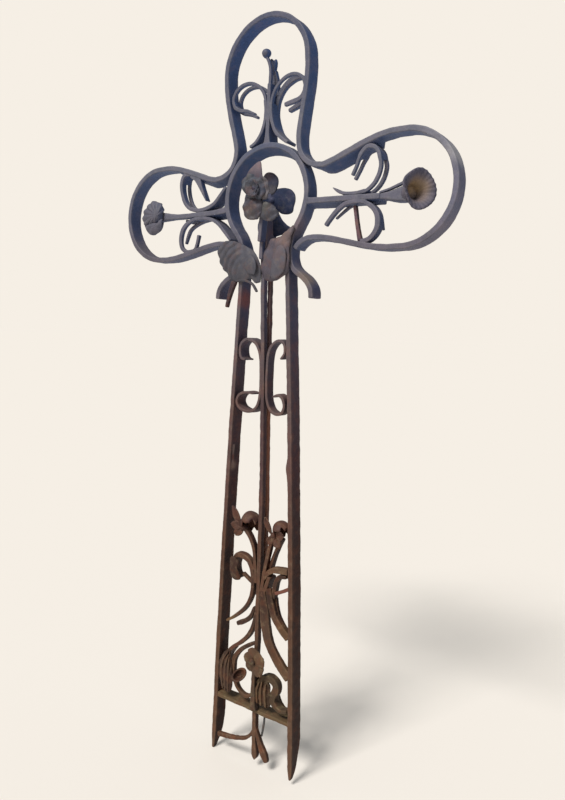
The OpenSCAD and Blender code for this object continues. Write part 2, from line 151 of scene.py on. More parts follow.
def waves(points, size, seed):
    """Smooth pseudo-random field from -1 to 1 with features of about that size."""
    rng = np.random.RandomState(seed)
    total = np.zeros(len(points))
    for _ in range(7):
        k = rng.normal(size=3)
        k *= 2 * math.pi / (size * rng.uniform(0.7, 1.7)) / np.linalg.norm(k)
        total += np.sin(points @ k + rng.uniform(0, 2 * math.pi))
    return total / 4.0


# ---------- Forms: each returns (vertices, faces, wear) ----------


def section():
    """Points round a bar's section: (side s, side t, outward s, outward t, wear)."""
    out = []
    for q in range(4):
        turn = 90 * q
        corner = [(1, 1), (-1, 1), (-1, -1), (1, -1)][q]
        for a in (0, 30, 60, 90):
            r = math.radians(turn + a)
            out.append((corner[0], corner[1], math.cos(r), math.sin(r), 1.0))
        if q % 2 == 0:
            for f in (0.7, 0.0, -0.7):
                out.append((f * corner[0], corner[1], 0, corner[1], 0.25 if f else 0.0))
        else:
            for f in (0.86, 0.5, 0.17, -0.17, -0.5, -0.86):
                out.append((corner[0], f * corner[1], corner[0], 0, 0.2 if abs(f) > 0.8 else 0.0))
    return np.array(out)


SECTION = section()
bar_count = 0


def bar(points, w, y0=FRONT, y1=BACK, round_r=1.5, step=3.0, rough=0.3, lip=None):
    """Forged flat bar on edge along a line in the XZ plane, between depths y0 and y1, with blunt ends.

    lip = (side, amount) slants one flat towards the back, so its back edge stands out; the amount is a
    table along the bar or a function of (x, z).
    """
    global bar_count
    bar_count += 1
    seed = 100 + 7 * bar_count
    line, u, along = resample(np.asarray(points, float), step)
    ends = min(along[-1] / 3, 1.8)
    first = np.array([along[0], ends * 0.35, ends])
    between = along[(along > ends * 1.3) & (along < along[-1] - ends * 1.3)]
    stations = np.concatenate([first, between, (along[-1] - first)[::-1]])
    line = np.stack([np.interp(stations, along, line[:, k]) for k in range(2)], 1)
    u = np.interp(stations, along, u)
    n = len(line)
    v = np.gradient(line, axis=0)
    v /= np.linalg.norm(v, axis=1)[:, None] + 1e-9
    normal = np.stack([-v[:, 1], v[:, 0]], 1)
    flat_line = np.stack([line[:, 0], stations * 0, line[:, 1]], 1)
    line = line + normal * (SWAY * waves(flat_line, 120, seed))[:, None]
    half = table(w, u) / 2
    low, high = table(y0, u), table(y1, u)
    mid, deep = (low + high) / 2, (high - low) / 2
    r = np.minimum(np.minimum(half, deep) * 0.45, round_r)
    pinch = np.zeros(n)
    pinch[[0, -1]] = 0.45
    pinch[[1, -2]] = 0.14
    shrink = pinch * np.minimum(np.minimum(half, deep) * 0.5, 2.0)
    half = half - shrink
    deep = deep - shrink
    s = SECTION[None, :, 0] * (half - r)[:, None] + SECTION[None, :, 2] * r[:, None]
    t = SECTION[None, :, 1] * (deep - r)[:, None] + SECTION[None, :, 3] * r[:, None]
    if lip is not None:
        side, amount = lip
        back = np.clip(t / deep[:, None] * 0.5 + 0.5, 0, 1)
        amount = amount(line[:, 0], line[:, 1]) if callable(amount) else table(amount, u)
        s = s + side * amount[:, None] * back * (SECTION[None, :, 0] * side > 0.5)
    pos = np.empty((n, len(SECTION), 3))
    pos[:, :, 0] = line[:, None, 0] + normal[:, None, 0] * s
    pos[:, :, 1] = mid[:, None] + t
    pos[:, :, 2] = line[:, None, 1] + normal[:, None, 1] * s
    out_n = np.empty_like(pos)
    out_n[:, :, 0] = normal[:, None, 0] * SECTION[None, :, 2]
    out_n[:, :, 1] = SECTION[None, :, 3]
    out_n[:, :, 2] = normal[:, None, 1] * SECTION[None, :, 2]
    flat = pos.reshape(-1, 3)
    dents = 0.75 * waves(flat, 26, seed + 1) + 0.45 * waves(flat, 9, seed + 2)
    push = rough * (dents + 0.2 * waves(flat, 4.5, seed + 3))
    pos = flat + out_n.reshape(-1, 3) * (push - 0.35 * rough)[:, None]
    m = len(SECTION)
    faces = []
    for i in range(n - 1):
        a, b = i * m, (i + 1) * m
        for j in range(m):
            k = (j + 1) % m
            faces.append((a + j, a + k, b + k, b + j))
    wear = np.tile(SECTION[:, 4], n)
    ring0 = pos[:m].mean(0) - np.array([v[0, 0], 0, v[0, 1]]) * 0.3
    ring1 = pos[-m:].mean(0) + np.array([v[-1, 0], 0, v[-1, 1]]) * 0.3
    pos = np.concatenate([pos, [ring0, ring1]])
    wear = np.concatenate([wear, [0.5, 0.5]])
    c0, c1 = n * m, n * m + 1
    for j in range(m):
        k = (j + 1) % m
        faces.append((c0, k, j))
        faces.append((c1, (n - 1) * m + j, (n - 1) * m + k))
    return pos, faces, wear


def bend(points, *args, **kw):
    """Forged bar on a smooth line through a few points."""
    return bar(smooth(points), *args, **kw)


def split_scroll(body, prong, w_body, w_prong, front_end, rear_end, depth, w_rear=None, rear_d=None):
    """Strap with an end split lengthwise into a front and a rear prong; each prong can have its own end."""
    forms = [bend(body, w_body, FRONT + INSET, BACK - INSET)]
    front = (front_end, w_prong, FRONT + 0.9, FRONT + depth)
    rear = (rear_end, w_rear or w_prong, BACK - (rear_d or depth), BACK - 0.9)
    for end, width, y0, y1 in (front, rear):
        forms.append(bend(prong, width, y0, y1, rough=0.2))
        if end is not None:
            forms.append(bend(end[0], end[1], y0, y1, rough=0.2))
    return forms


def shell(mid, thickness):
    """Closed shell of that thickness on a grid of mid-surface points (rows, columns, 3)."""
    nu, nv, _ = mid.shape
    du, dv = np.gradient(mid, axis=0), np.gradient(mid, axis=1)
    nrm = np.cross(du, dv)
    nrm /= np.linalg.norm(nrm, axis=2)[:, :, None] + 1e-9
    rim = np.zeros((nu, nv))
    rim[0, :] = rim[-1, :] = rim[:, 0] = rim[:, -1] = 1
    th = thickness * (1 - 0.45 * rim) / 2
    top = (mid + nrm * th[:, :, None]).reshape(-1, 3)
    low = (mid - nrm * th[:, :, None]).reshape(-1, 3)
    q = nu * nv
    faces = []
    for i in range(nu - 1):
        for j in range(nv - 1):
            a, b, c, d = i * nv + j, (i + 1) * nv + j, (i + 1) * nv + j + 1, i * nv + j + 1
            faces.append((a, b, c, d))
            faces.append((q + a, q + d, q + c, q + b))
    border = (
        [(i, 0) for i in range(nu)]
        + [(nu - 1, j) for j in range(1, nv)]
        + [(i, nv - 1) for i in range(nu - 2, -1, -1)]
        + [(0, j) for j in range(nv - 2, 0, -1)]
    )
    idx = [i * nv + j for i, j in border]
    for a, b in zip(idx, idx[1:] + idx[:1]):
        faces.append((b, a, q + a, q + b))
    return np.concatenate([top, low]), faces, np.tile(rim.reshape(-1), 2)


def lathe(profile, sides, shape):
    """Closed form turned about +Z from (radius, height) points, then bent by shape.

    shape takes the radius, height, angle and fraction of the profile, and gives back the first three.
    """
    profile = np.asarray(profile, float)
    n = len(profile)
    a = np.linspace(0, 2 * math.pi, sides, endpoint=False)
    rr = np.repeat(profile[:, 0][:, None], sides, 1)
    hh = np.repeat(profile[:, 1][:, None], sides, 1)
    aa = np.repeat(a[None, :], n, 0)
    rr, hh, aa = shape(rr, hh, aa, np.arange(n)[:, None] / (n - 1.0))
    pos = np.stack([rr * np.cos(aa), rr * np.sin(aa), hh], 2).reshape(-1, 3)
    faces = []
    for i in range(n - 1):
        for j in range(sides):
            k = (j + 1) % sides
            faces.append((i * sides + j, i * sides + k, (i + 1) * sides + k, (i + 1) * sides + j))
    faces.append(tuple(range(sides))[::-1])
    faces.append(tuple((n - 1) * sides + j for j in range(sides)))
    return pos, faces, np.zeros(len(pos))


def upright(origin):
    """Matrix that turns +Z towards the front, at the origin."""
    return Matrix.Translation(origin) @ Matrix.Rotation(math.radians(90), 4, "X")


def place(form, matrix):
    m = np.array(matrix)
    return (form[0] @ m[:3, :3].T + m[:3, 3], *form[1:])


PETAL_ROWS = 15
PETAL_COLUMNS = 13
PETAL_RIBS = 5


def petal(length, width, seed, cup=3.0, curl=4.0, ruffle=0.8, thickness=2.2):
    """Hammered petal along +X: narrow foot, round tip, dished by cup and turned up by curl at its tip."""
    u = 0.5 - 0.5 * np.cos(math.pi * np.linspace(0, 1, PETAL_ROWS)[:, None])
    v = np.linspace(-1, 1, PETAL_COLUMNS)[None, :]
    half = width / 2 * np.clip(np.sin(math.pi * u**1.35), 0, 1) ** 0.5
    half = np.maximum(half, width * 0.10 * (1 - u) + 0.9)
    x = length * (u - 0.05 * v * v * u)
    y = half * v * (1 + 0.05 * np.sin(9 * u + seed))
    ridge = ruffle * np.cos(PETAL_RIBS * math.pi * v) * u * (1.2 - u)
    z = cup * v * v * np.sin(math.pi * u) + curl * u * u + ridge
    z = z + 0.9 * ruffle * np.sin(5.1 * u + 3.3 * v + seed) * u
    mid = np.stack([x + 0 * v, y, z + 0 * v], 2)
    return shell(mid, thickness)


def blossom(petals, boss, boss_h, seed, **look):
    """Petals (angle, length, width, lift) about +Z, each tilted up by its lift, round a hammered boss."""
    forms = []
    for i, (angle, length, width, lift) in enumerate(petals):
        m = Matrix.Rotation(math.radians(angle), 4, "Z") @ Matrix.Rotation(math.radians(-lift), 4, "Y")
        m = m @ Matrix.Translation((2, 0, 0.5 * (i % 2) + 0.06 * lift))
        forms.append(place(petal(length - 2, width, seed + i, **look), m))
    dome = np.radians([-60, -30, 0, 25, 50, 70, 84])
    profile = [(boss * math.cos(a), boss_h + 0.75 * boss * math.sin(a)) for a in dome]

    def dent(r, h, a, k):
        return r * (1 + 0.06 * np.sin(3 * a + seed) + 0.03 * np.sin(7 * a)), h + 0.5 * np.sin(2 * a + seed), a

    forms.append(lathe(profile, 24, dent))
    return forms


def fan(outline, hub, depth, bulge, ribs, rib_h, thickness=3.0, rows=16, seed=0, wave=None):
    """Leaf seen from the front, bulging to -Y: ribs run from the hub to a closed outline in the XZ plane."""
    edge, _, _ = resample(np.concatenate([smooth(outline, 6), [outline[0]]]), 2.2)
    edge = edge[:-1]
    n = len(edge)
    f = np.linspace(0.06, 1, rows)[:, None]
    a = np.arange(n)[None, :] / n
    x = hub[0] + (edge[None, :, 0] - hub[0]) * f
    z = hub[1] + (edge[None, :, 1] - hub[1]) * f
    rib_wave = np.cos(2 * math.pi * ribs * a + 0.6 * np.sin(6 * f))
    y = depth - bulge * (1 - f**2.2) + rib_h * rib_wave * f**1.2
    if wave is not None:
        y = y + wave(x, z, f)
    pts = np.stack([x, y, z], 2)
    y = y + 0.5 * waves(pts.reshape(-1, 3), 18, 900 + seed).reshape(y.shape)
    grid = np.stack([x, y, z], 2)
    grid = np.concatenate([grid, grid[:, :1]], 1)
    nu, nv, _ = grid.shape
    du, dv = np.gradient(grid, axis=0), np.gradient(grid, axis=1)
    dv[:, 0] = dv[:, -1] = grid[:, 1] - grid[:, -2]
    nrm = np.cross(du, dv)
    nrm /= np.linalg.norm(nrm, axis=2)[:, :, None] + 1e-9
    th = thickness / 2 * np.where(np.arange(nu) == nu - 1, 0.5, 1.0)[:, None, None]
    top, low = (grid + nrm * th)[:, :-1], (grid - nrm * th)[:, :-1]
    nv -= 1
    q = nu * nv
    pos = np.concatenate([top.reshape(-1, 3), low.reshape(-1, 3), [top[0].mean(0)], [low[0].mean(0)]])
    faces = []
    for i in range(nu - 1):
        for j in range(nv):
            k = (j + 1) % nv
            p, r, s, t = i * nv + j, (i + 1) * nv + j, (i + 1) * nv + k, i * nv + k
            faces.append((p, r, s, t))
            faces.append((q + p, q + t, q + s, q + r))
    for j in range(nv):
        k = (j + 1) % nv
        e = (nu - 1) * nv
        faces.append((e + j, q + e + j, q + e + k, e + k))
        faces.append((2 * q, j, k))
        faces.append((2 * q + 1, q + k, q + j))
    wear = np.zeros(len(pos))
    wear[(nu - 1) * nv : q] = 1
    wear[q + (nu - 1) * nv : 2 * q] = 1
    crest = np.clip(-rib_wave, 0, 1) * f * 0.5
    wear[:q] = np.maximum(wear[:q], crest.reshape(-1))
    return pos, faces, wear


def ball(centre, r, squash):
    """Hammered ball, flattened along Z by squash."""
    profile = [(r * math.cos(a), r * squash * math.sin(a)) for a in np.radians(np.linspace(-82, 82, 12))]

    def dent(rr, hh, aa, k):
        return rr * (1 + 0.05 * np.sin(3 * aa + 1) + 0.03 * np.sin(5 * aa)), hh, aa

    return place(lathe(profile, 28, dent), Matrix.Translation(centre))


# ---------- Materials ----------


def srgb(code):
    c = [int(code[i : i + 2], 16) / 255 for i in (1, 3, 5)]
    return [v / 12.92 if v <= 0.04045 else ((v + 0.055) / 1.055) ** 2.4 for v in c] + [1.0]


def painted(form, *spots):
    """Local colour on a form: spots are (centre, radius, colour, strength), in millimetres."""
    pos, faces, wear = form[:3]
    paint = np.zeros((len(pos), 4)) if len(form) < 4 else form[3].copy()
    for centre, radius, code, strength in spots:
        a = strength * np.exp(-((np.linalg.norm(pos - np.array(centre, float), axis=1) / radius) ** 4))
        total = a + paint[:, 3] * (1 - a) + 1e-9
        under = paint[:, :3] * (paint[:, 3] * (1 - a))[:, None]
        mixed = np.array(srgb(code)[:3])[None, :] * a[:, None] + under
        paint[:, :3] = mixed / total[:, None]
        paint[:, 3] = total
    return pos, faces, wear, paint


def washed(form, code, strength):
    """One local colour over a whole form."""
    return painted(form, (form[0].mean(0), 1e4, code, strength))


class Nodes:
    def __init__(self, name):
        self.mat = bpy.data.materials.new(name)
        self.mat.use_nodes = True
        self.tree = self.mat.node_tree
        self.tree.nodes.clear()
        self.links = self.tree.links

    def add(self, kind, **props):
        n = self.tree.nodes.new(kind)
        for k, v in props.items():
            setattr(n, k, v)
        return n

    def feed(self, socket, value):
        if isinstance(value, bpy.types.NodeSocket):
            self.links.new(value, socket)
        else:
            socket.default_value = value

    def math(self, op, a, b=0.0, clamp=False):
        n = self.add("ShaderNodeMath", operation=op, use_clamp=clamp)
        self.feed(n.inputs[0], a)
        self.feed(n.inputs[1], b)
        return n.outputs[0]

    def noise(self, vector, scale, detail, rough):
        n = self.add("ShaderNodeTexNoise")
        self.feed(n.inputs["Vector"], vector)
        self.feed(n.inputs["Scale"], scale)
        self.feed(n.inputs["Detail"], detail)
        self.feed(n.inputs["Roughness"], rough)
        return n.outputs["Fac"]

    def ramp(self, fac, stops, interpolation="EASE"):
        n = self.add("ShaderNodeValToRGB")
        n.color_ramp.interpolation = interpolation
        while len(n.color_ramp.elements) < len(stops):
            n.color_ramp.elements.new(0.5)
        for e, (p, c) in zip(n.color_ramp.elements, stops):
            e.position = p
            e.color = srgb(c) if isinstance(c, str) else (c, c, c, 1)
        self.feed(n.inputs["Fac"], fac)
        return n.outputs["Color"]

    def mix(self, fac, a, b, blend="MIX"):
        n = self.add("ShaderNodeMix", data_type="RGBA", blend_type=blend)
        self.feed(n.inputs["Factor"], fac)
        self.feed(n.inputs[6], a)
        self.feed(n.inputs[7], b)
        return n.outputs[2]


LEVEL_LOW, LEVEL_HIGH = -0.04, 1.28


def level(z):
    """Fraction of the object's height at z millimetres."""
    return (z / 1000 - LEVEL_LOW) / (LEVEL_HIGH - LEVEL_LOW)


def iron(name, side, front, rust="#6b3f2a", rust_amount=0.25, dust="#8d7f6b", dust_amount=0.2, metal=0.12):
    """Weathered wrought iron.

    side and front are [(height, colour), ...] for the flats and for the front edges; faces turned to the
    front or up take the front colour as painted light, the rest the side colour as painted shade.
    """
    g = Nodes(name)
    where = g.add("ShaderNodeTexCoord")
    place_out = where.outputs["Object"]
    split = g.add("ShaderNodeSeparateXYZ")
    g.feed(split.inputs[0], place_out)
    big = g.noise(place_out, 14.0, 3.0, 0.55)
    blot = g.noise(place_out, 55.0, 5.0, 0.65)
    fine = g.noise(place_out, 420.0, 4.0, 0.7)
    pits = g.noise(place_out, 900.0, 2.0, 0.5)
    height = g.math("DIVIDE", g.math("SUBTRACT", split.outputs["Z"], LEVEL_LOW), LEVEL_HIGH - LEVEL_LOW)
    height = g.math("ADD", height, g.math("MULTIPLY", g.math("SUBTRACT", big, 0.5), 0.10))
    shaded_side_col = g.ramp(height, [(level(z), c) for z, c in side], "LINEAR")
    lit_front_col = g.ramp(height, [(level(z), c) for z, c in front], "LINEAR")
    # Painted light and shade: how much a face looks to the front or up picks the lit front colour over the
    # shaded side colour.
    turn = g.add("ShaderNodeSeparateXYZ")
    g.feed(turn.inputs[0], where.outputs["Normal"])
    facing = g.math("ABSOLUTE", turn.outputs["Y"])
    up = g.math("MULTIPLY", turn.outputs["Z"], 1.1)
    facing = g.math("MAXIMUM", facing, up)
    facing = g.math("ADD", facing, g.math("MULTIPLY", g.math("SUBTRACT", blot, 0.5), 0.6))
    lit_face_mix = g.ramp(facing, [(0.35, 0.0), (0.85, 1.0)])
    wear = g.add("ShaderNodeAttribute", attribute_name="wear").outputs["Fac"]
    wear = g.math("MULTIPLY", wear, g.math("ADD", 0.25, g.math("MULTIPLY", blot, 0.9)), clamp=True)
    colour = g.mix(g.math("MAXIMUM", lit_face_mix, g.math("MULTIPLY", wear, 0.6)), shaded_side_col, lit_front_col)
    paint = g.add("ShaderNodeAttribute", attribute_name="paint")
    uneven = g.math("ADD", 0.55, g.math("MULTIPLY", blot, 0.9))
    patch = g.math("MULTIPLY", paint.outputs["Alpha"], uneven, clamp=True)
    colour = g.mix(patch, colour, paint.outputs["Color"])
    rust_mask = g.math("MULTIPLY", g.ramp(blot, [(0.47, 0.0), (0.62, 1.0)]), rust_amount)
    colour = g.mix(rust_mask, colour, srgb(rust))
    specks = g.ramp(g.noise(place_out, 90.0, 6.0, 0.7), [(0.50, 0.0), (0.68, 1.0)])
    dust_mask = g.math("MULTIPLY", specks, dust_amount)
    dust_mask = g.math(
        "MULTIPLY", dust_mask, g.math("ADD", 0.15, g.math("MULTIPLY", lit_face_mix, 1.0)), clamp=True,
    )
    dust_mask = g.math("ADD", dust_mask, g.math("MULTIPLY", wear, 0.12))
    colour = g.mix(dust_mask, colour, srgb(dust))
    mottle = g.math("ADD", g.math("MULTIPLY", fine, 0.60), g.math("MULTIPLY", blot, 0.80))
    mottle = g.math("ADD", 0.30, mottle)
    grey = g.add("ShaderNodeCombineColor")
    for s in grey.inputs[:3]:
        g.feed(s, mottle)
    colour = g.mix(1.0, colour, grey.outputs[0], "MULTIPLY")
    shade = g.add("ShaderNodeBsdfPrincipled")
    g.feed(shade.inputs["Base Color"], colour)
    shade.inputs["Metallic"].default_value = metal
    g.feed(shade.inputs["Roughness"], g.math("ADD", 0.44, g.math("MULTIPLY", blot, 0.34), clamp=True))
    shade.inputs["Specular IOR Level"].default_value = 0.2
    relief = g.math("ADD", g.math("MULTIPLY", blot, 1.0), g.math("MULTIPLY", fine, 0.34))
    relief = g.math("ADD", relief, g.math("MULTIPLY", pits, 0.12))
    bump = g.add("ShaderNodeBump")
    bump.inputs["Strength"].default_value = 0.6
    bump.inputs["Distance"].default_value = 0.0014
    g.feed(bump.inputs["Height"], relief)
    g.feed(shade.inputs["Normal"], bump.outputs[0])
    out = g.add("ShaderNodeOutputMaterial")
    g.links.new(shade.outputs[0], out.inputs[0])
    return g.mat


# Colours by height: for the flats, with painted shade, and for the front edges and tops, with painted light.
SHADED_SIDE = [
    (-20, "#280f09"), (150, "#290f0a"), (380, "#2b1211"), (520, "#392028"), (660, "#41343f"),
    (800, "#403f58"), (930, "#3f4c6e"), (1100, "#41547c"), (1270, "#2f4878"),
]
LIT_FACE = [
    (-20, "#5e4333"), (150, "#573e2f"), (380, "#543a2f"), (520, "#5c4442"), (660, "#604f4f"),
    (800, "#5e575f"), (930, "#646371"), (1050, "#676875"), (1180, "#5a5c6c"), (1270, "#54576a"),
]

# In every material the first table is the flats' colour with painted shade and the second the front edges'
# colour with painted light.
MATERIALS = {
    "upper_iron": iron(
        "weathered_slate_iron", SHADED_SIDE, LIT_FACE,
        rust="#5f5560", rust_amount=0.25, dust="#8a8680", dust_amount=0.16,
    ),
    "middle_iron": iron("weathered_brown_iron", SHADED_SIDE, LIT_FACE, rust_amount=0.2, dust_amount=0.14),
    "lower_iron": iron(
        "rusted_brown_iron", SHADED_SIDE, LIT_FACE,
        rust="#5e3825", rust_amount=0.4, dust="#8f7a5f", dust_amount=0.24,
    ),
    "mossy_iron": iron(
        "dusty_khaki_iron",
        [(0, "#35271d"), (200, "#33251c")],
        [(0, "#645139"), (200, "#5c4835")],
        rust="#5d3a28", rust_amount=0.5, dust="#857a5a", dust_amount=0.3, metal=0.08,
    ),
    "rusty_iron": iron(
        "rust_red_iron",
        [(0, "#331f17"), (300, "#3a231b"), (520, "#5a3a32"), (660, "#4a3436"), (900, "#43383f")],
        [(0, "#553828"), (300, "#5c3c2e"), (520, "#7b5245"), (660, "#69504f"), (900, "#655059")],
        rust="#74432c", rust_amount=0.35, metal=0.08,
    ),
}
SLOTS = {s["node"]: s["material_slot"] for s in frame["record"]["subparts"]}


def piece(node, forms):
    """One forged piece: its forms in one mesh, in metres, standing for the CAD node of the same name."""
    verts, faces, wear, paint, offset = [], [], [], [], 0
    for form in forms:
        pos, quads, worn = form[:3]
        verts.append(pos)
        wear.append(worn)
        paint.append(form[3] if len(form) > 3 else np.zeros((len(pos), 4)))
        faces += [tuple(i + offset for i in f) for f in quads]
        offset += len(pos)
    co = np.clip(np.concatenate(verts), LOW, HIGH) / 1000.0
    mesh = bpy.data.meshes.new(node + "_mesh")
    mesh.from_pydata(co.tolist(), [], faces)
    worn_edges = mesh.attributes.new("wear", "FLOAT", "POINT")
    worn_edges.data.foreach_set("value", np.concatenate(wear).astype(np.float32))
    spots = mesh.attributes.new("paint", "FLOAT_COLOR", "POINT")
    spots.data.foreach_set("color", np.concatenate(paint).astype(np.float32).ravel())
    mesh.shade_smooth()
    mesh.materials.append(MATERIALS[SLOTS[node]])
    obj = bpy.data.objects.new("forged_" + node, mesh)
    bpy.context.scene.collection.objects.link(obj)
    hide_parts(node)
    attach(obj, "root")


# ---------- Outline of the cross ----------


def flank(a, b, a_end, r, power):
    u = np.arange(0, 0.96, 0.0625)
    return np.stack([a + (a_end - a) * u, b + (r - b) * np.sin(np.radians(90 * u)) ** power], 1)


end_x = SIDE_REACH - LOBE_R
side_tip = arc(end_x, 0, LOBE_R, 84, -84)
side_top = flank(110, 50, end_x - 9, LOBE_R, 1.4)
side_bottom = flank(100, 61.5, end_x - 9, LOBE_R, 1.6) * [1, -1]
bar_end = smooth([[64, -78], [69, -71.5], [78, -65.5], [88, -62]], 4)
right_side = np.concatenate([bar_end, side_bottom, side_tip[::-1], side_top[::-1]])
crotch = arc(106, 92, 41, -88, -176)
waist = 97
half_r = LOBE_R - 0.5
top_flank = flank(waist, 64.5, TOP_REACH - LOBE_R - 4, half_r, 1.4)[:, ::-1]
top_z = TOP_REACH - LOBE_R
rising = np.concatenate([top_flank, arc(0, top_z, half_r, 6, 90)])
falling = np.concatenate([arc(0, top_z, half_r, 95, 174), mirrored(top_flank)[::-1]])
top_half = turned(rising, [0, waist], TOP_LEAN)
top_left = turned(falling, [0, waist], TOP_LEAN)
crossing = np.concatenate([right_side, crotch, top_half, top_left])
trefoil = np.concatenate([crossing, mirrored(crotch)[::-1], mirrored(right_side)[::-1]]) + [0, ARM_Z]


def under_lip(x, z):
    """Straps welded under the two upper bars of the side arms, each ending abruptly at its scroll."""
    right = (z > ARM_Z + 20) & (x > 96) & (x < 206)
    left = (z > ARM_Z + 20) & (x < -96) & (x > -203)
    right_lip = np.where(right, 9.0 * np.clip((x - 96) / 25, 0, 1), 0)
    return right_lip + np.where(left, 7.0 * np.clip((-96 - x) / 25, 0, 1), 0)


outline = bar(trefoil, BAR_T, step=3.2, rough=0.35, lip=(1, under_lip))
# Painted light on the right lobe's outer end: lighter grey where it faces out and up, and a painted highlight
# on its upper edge.
painted_lobe_light = [
    ((322, 0, 960), 75, "#6c6b7d", 0.65), ((336, 0, 1014), 26, "#a6a4a6", 0.75),
    ((300, 0, 1034), 24, "#8a8993", 0.5),
]
piece("trefoil_outline", [
    painted(outline, *painted_lobe_light, ((290, 0, 885), 50, "#625c66", 0.5), ((-300, 0, 890), 60, "#544a50", 0.4)),
])

opening = 36
ring_foot = [RING_R * math.cos(math.radians(opening)), RING_Z - RING_R * math.sin(math.radians(opening))]
left_neck = [
    [-54, 910], [-46.5, 893], [-43, 878], [-46, 864], [-55, 853], [-67, 846], [-80, 840], [-91, 831],
    [-98, 820], [-100, 807],
]
right_neck = [
    [58.5, 910], [55, 893], [54, 878], [57, 864], [63, 854], [72, 847], [82, 840], [91, 831], [97, 820],
    [98, 807],
]
ring = np.concatenate([
    smooth([[-ring_foot[0], ring_foot[1]]] + left_neck, 6)[::-1],
    arc(0, RING_Z, RING_R, -opening + 6, 180 + opening - 6)[::-1],
    smooth([ring_foot] + right_neck, 6),
])
ring_bar = bar(
    ring, BAR_T, step=3.0, rough=0.4,
    lip=(-1, [[0, 0], [0.32, 1], [0.42, 4], [0.52, 8], [0.62, 3], [0.7, 0], [1, 0]]),
)
piece("keyhole_ring", [
    painted(
        ring_bar, ((60, -12, 925), 22, "#7b6466", 0.5), ((84, -10, 838), 16, "#7d6c5c", 0.6),
        ((0, 0, 1052), 60, "#2b466e", 0.35),
    ),
])

# ---------- Legs and rail ----------


def leg(side, shift, tip_z, tip_back, cut_z, extra):
    """Leg on one side: it thins to its point, and its back slants forward from the height cut_z down."""
    u = np.linspace(0, 1, 40)
    x = LEG_TOP_X + (LEG_FOOT_X - LEG_TOP_X) * u + 4 * LEG_BOW * u * (1 - u)
    line = np.stack([shift + side * x, LEG_TOP_Z * (1 - u)], 1)
    point = smooth([line[-1], [shift + side * (LEG_FOOT_X + 1), tip_z]], 6)[1:]
    line = np.concatenate([line[:1] + [0, 14], line, point])
    z = line[:, 1]
    frac = np.linspace(0, 1, len(line))
    shoulder = [[0, 7.5 + extra], [0.25, 8 + extra], [0.6, 9 + extra]]
    w = shoulder + [[0.84, 9.5 + extra], [0.92, 8 + extra], [1, 4]]
    slant = tip_back + (BACK - tip_back) * np.clip((z - tip_z) / (cut_z - tip_z), 0, 1) ** 0.8
    back = np.where(z < cut_z, slant, BACK)
    return bar(line, w, FRONT, np.stack([frac, back], 1), rough=0.5)


left_leg = leg(-1, 0.5, -POINT_LEN, -6, 10, 0.5)
red_patch = ((-47, 0, 806), 16, "#7a4540", 0.75)
bead = bend(
    [[-61, 556], [-60.4, 546], [-61.5, 532], [-62.5, 518], [-63, 508]], [[0, 3], [0.5, 4], [1, 5]], -9, -3,
    round_r=1.5, rough=0.6,
)
bead = painted(washed(bead, "#7c6a66", 0.7), ((-62, -6, 526), 6, "#5a241f", 0.8))
piece("left_leg", [
    painted(left_leg, red_patch, ((-66, -4, 510), 9, "#8a776a", 0.6), ((-62, 0, 536), 16, "#241a1c", 0.6)),
    bead,
])
bulge = bend(
    [[66, 560], [64, 538], [63.4, 522], [64.6, 506], [67, 488]], [[0, 1], [0.5, 6], [1, 1]], FRONT + 1,
    FRONT + 20, rough=0.5,
)
piece("right_leg", [leg(1, 3, -POINT_LEN + 10, -6, 40, 1), bulge])
rail_line = [[-LEG_FOOT_X + 4, RAIL_Z + RAIL_T / 2], [LEG_FOOT_X - 2, RAIL_Z + RAIL_T / 2]]
rail = bar(rail_line, RAIL_T, FRONT + 0.4, BACK - 0.4, rough=0.7)
weld = bar([[-85, 73], [-78, 76], [-62, 76]], [[0, 12], [0.5, 9], [1, 4]], FRONT + 1, BACK - 2, rough=0.8)
piece("bottom_rail", [rail, weld])

# ---------- Stems of the shaft ----------

stem_line = [
    [-1, 874], [0, 800], [4, 700], [6.5, 600], [8.5, 500], [9, 400], [8, 250], [7.5, 100], [8.5, 10],
    [11, -18],
]
stem = bend(
    stem_line, [[0, 7], [0.1, 8], [0.88, 9], [0.935, 13], [0.965, 11], [1, 1.5]], FRONT + 1, FRONT + 12,
    round_r=2.6, rough=0.5,
)
piece("centre_stem", [painted(stem, ((6, -8, 560), 120, "#3f2c34", 0.55))])
rear_line = [[2, 874], [3, 780], [5, 620], [7, 520], [9, 440], [8, 330], [7, 230]]
rear_stem = bend(rear_line, [[0, 7], [1, 6]], BACK - 11, BACK - 2, round_r=2.2, rough=0.5)
piece("rear_stem", [
    painted(rear_stem, ((7, 8, 540), 130, "#84523f", 0.7), ((4, 8, 720), 60, "#51353b", 0.5)),
])

# ---------- Top arm ----------

piece("top_stem", [
    bend(
        [[-1, 1056], [0, 1064], [0.5, 1080], [1, 1120], [2, 1158]],
        [[0, 34], [0.1, 24], [0.25, 13], [0.5, 8], [1, 7]], FRONT + 0.5, BACK - 0.5,
    ),
    bend([[2, 1150], [3, 1175], [0, 1190], [-6, 1202]], [[0, 6], [1, 3.5]], FRONT + 1, FRONT + 7),
    ball((-7, FRONT + 4, 1207), 7.6, 0.98),
    bend([[4, 1140], [2, 1166], [-1, 1184]], [[0, 14], [0.6, 10], [1, 6]], BACK - 11, BACK - 2),
    place(
        lathe(
            [(3, -4), (5, 0), (6.5, 5), (7.6, 11), (7.8, 15), (6.5, 19), (4.5, 20), (2.4, 17), (1, 13)], 28,
            lambda r, h, a, k: (r * (1 + 0.16 * np.cos(4 * a) * k), h + 1.6 * np.cos(4 * a) * k, a),
        ),
        Matrix.Translation((-3, BACK - 9, 1180)),
    ),
])
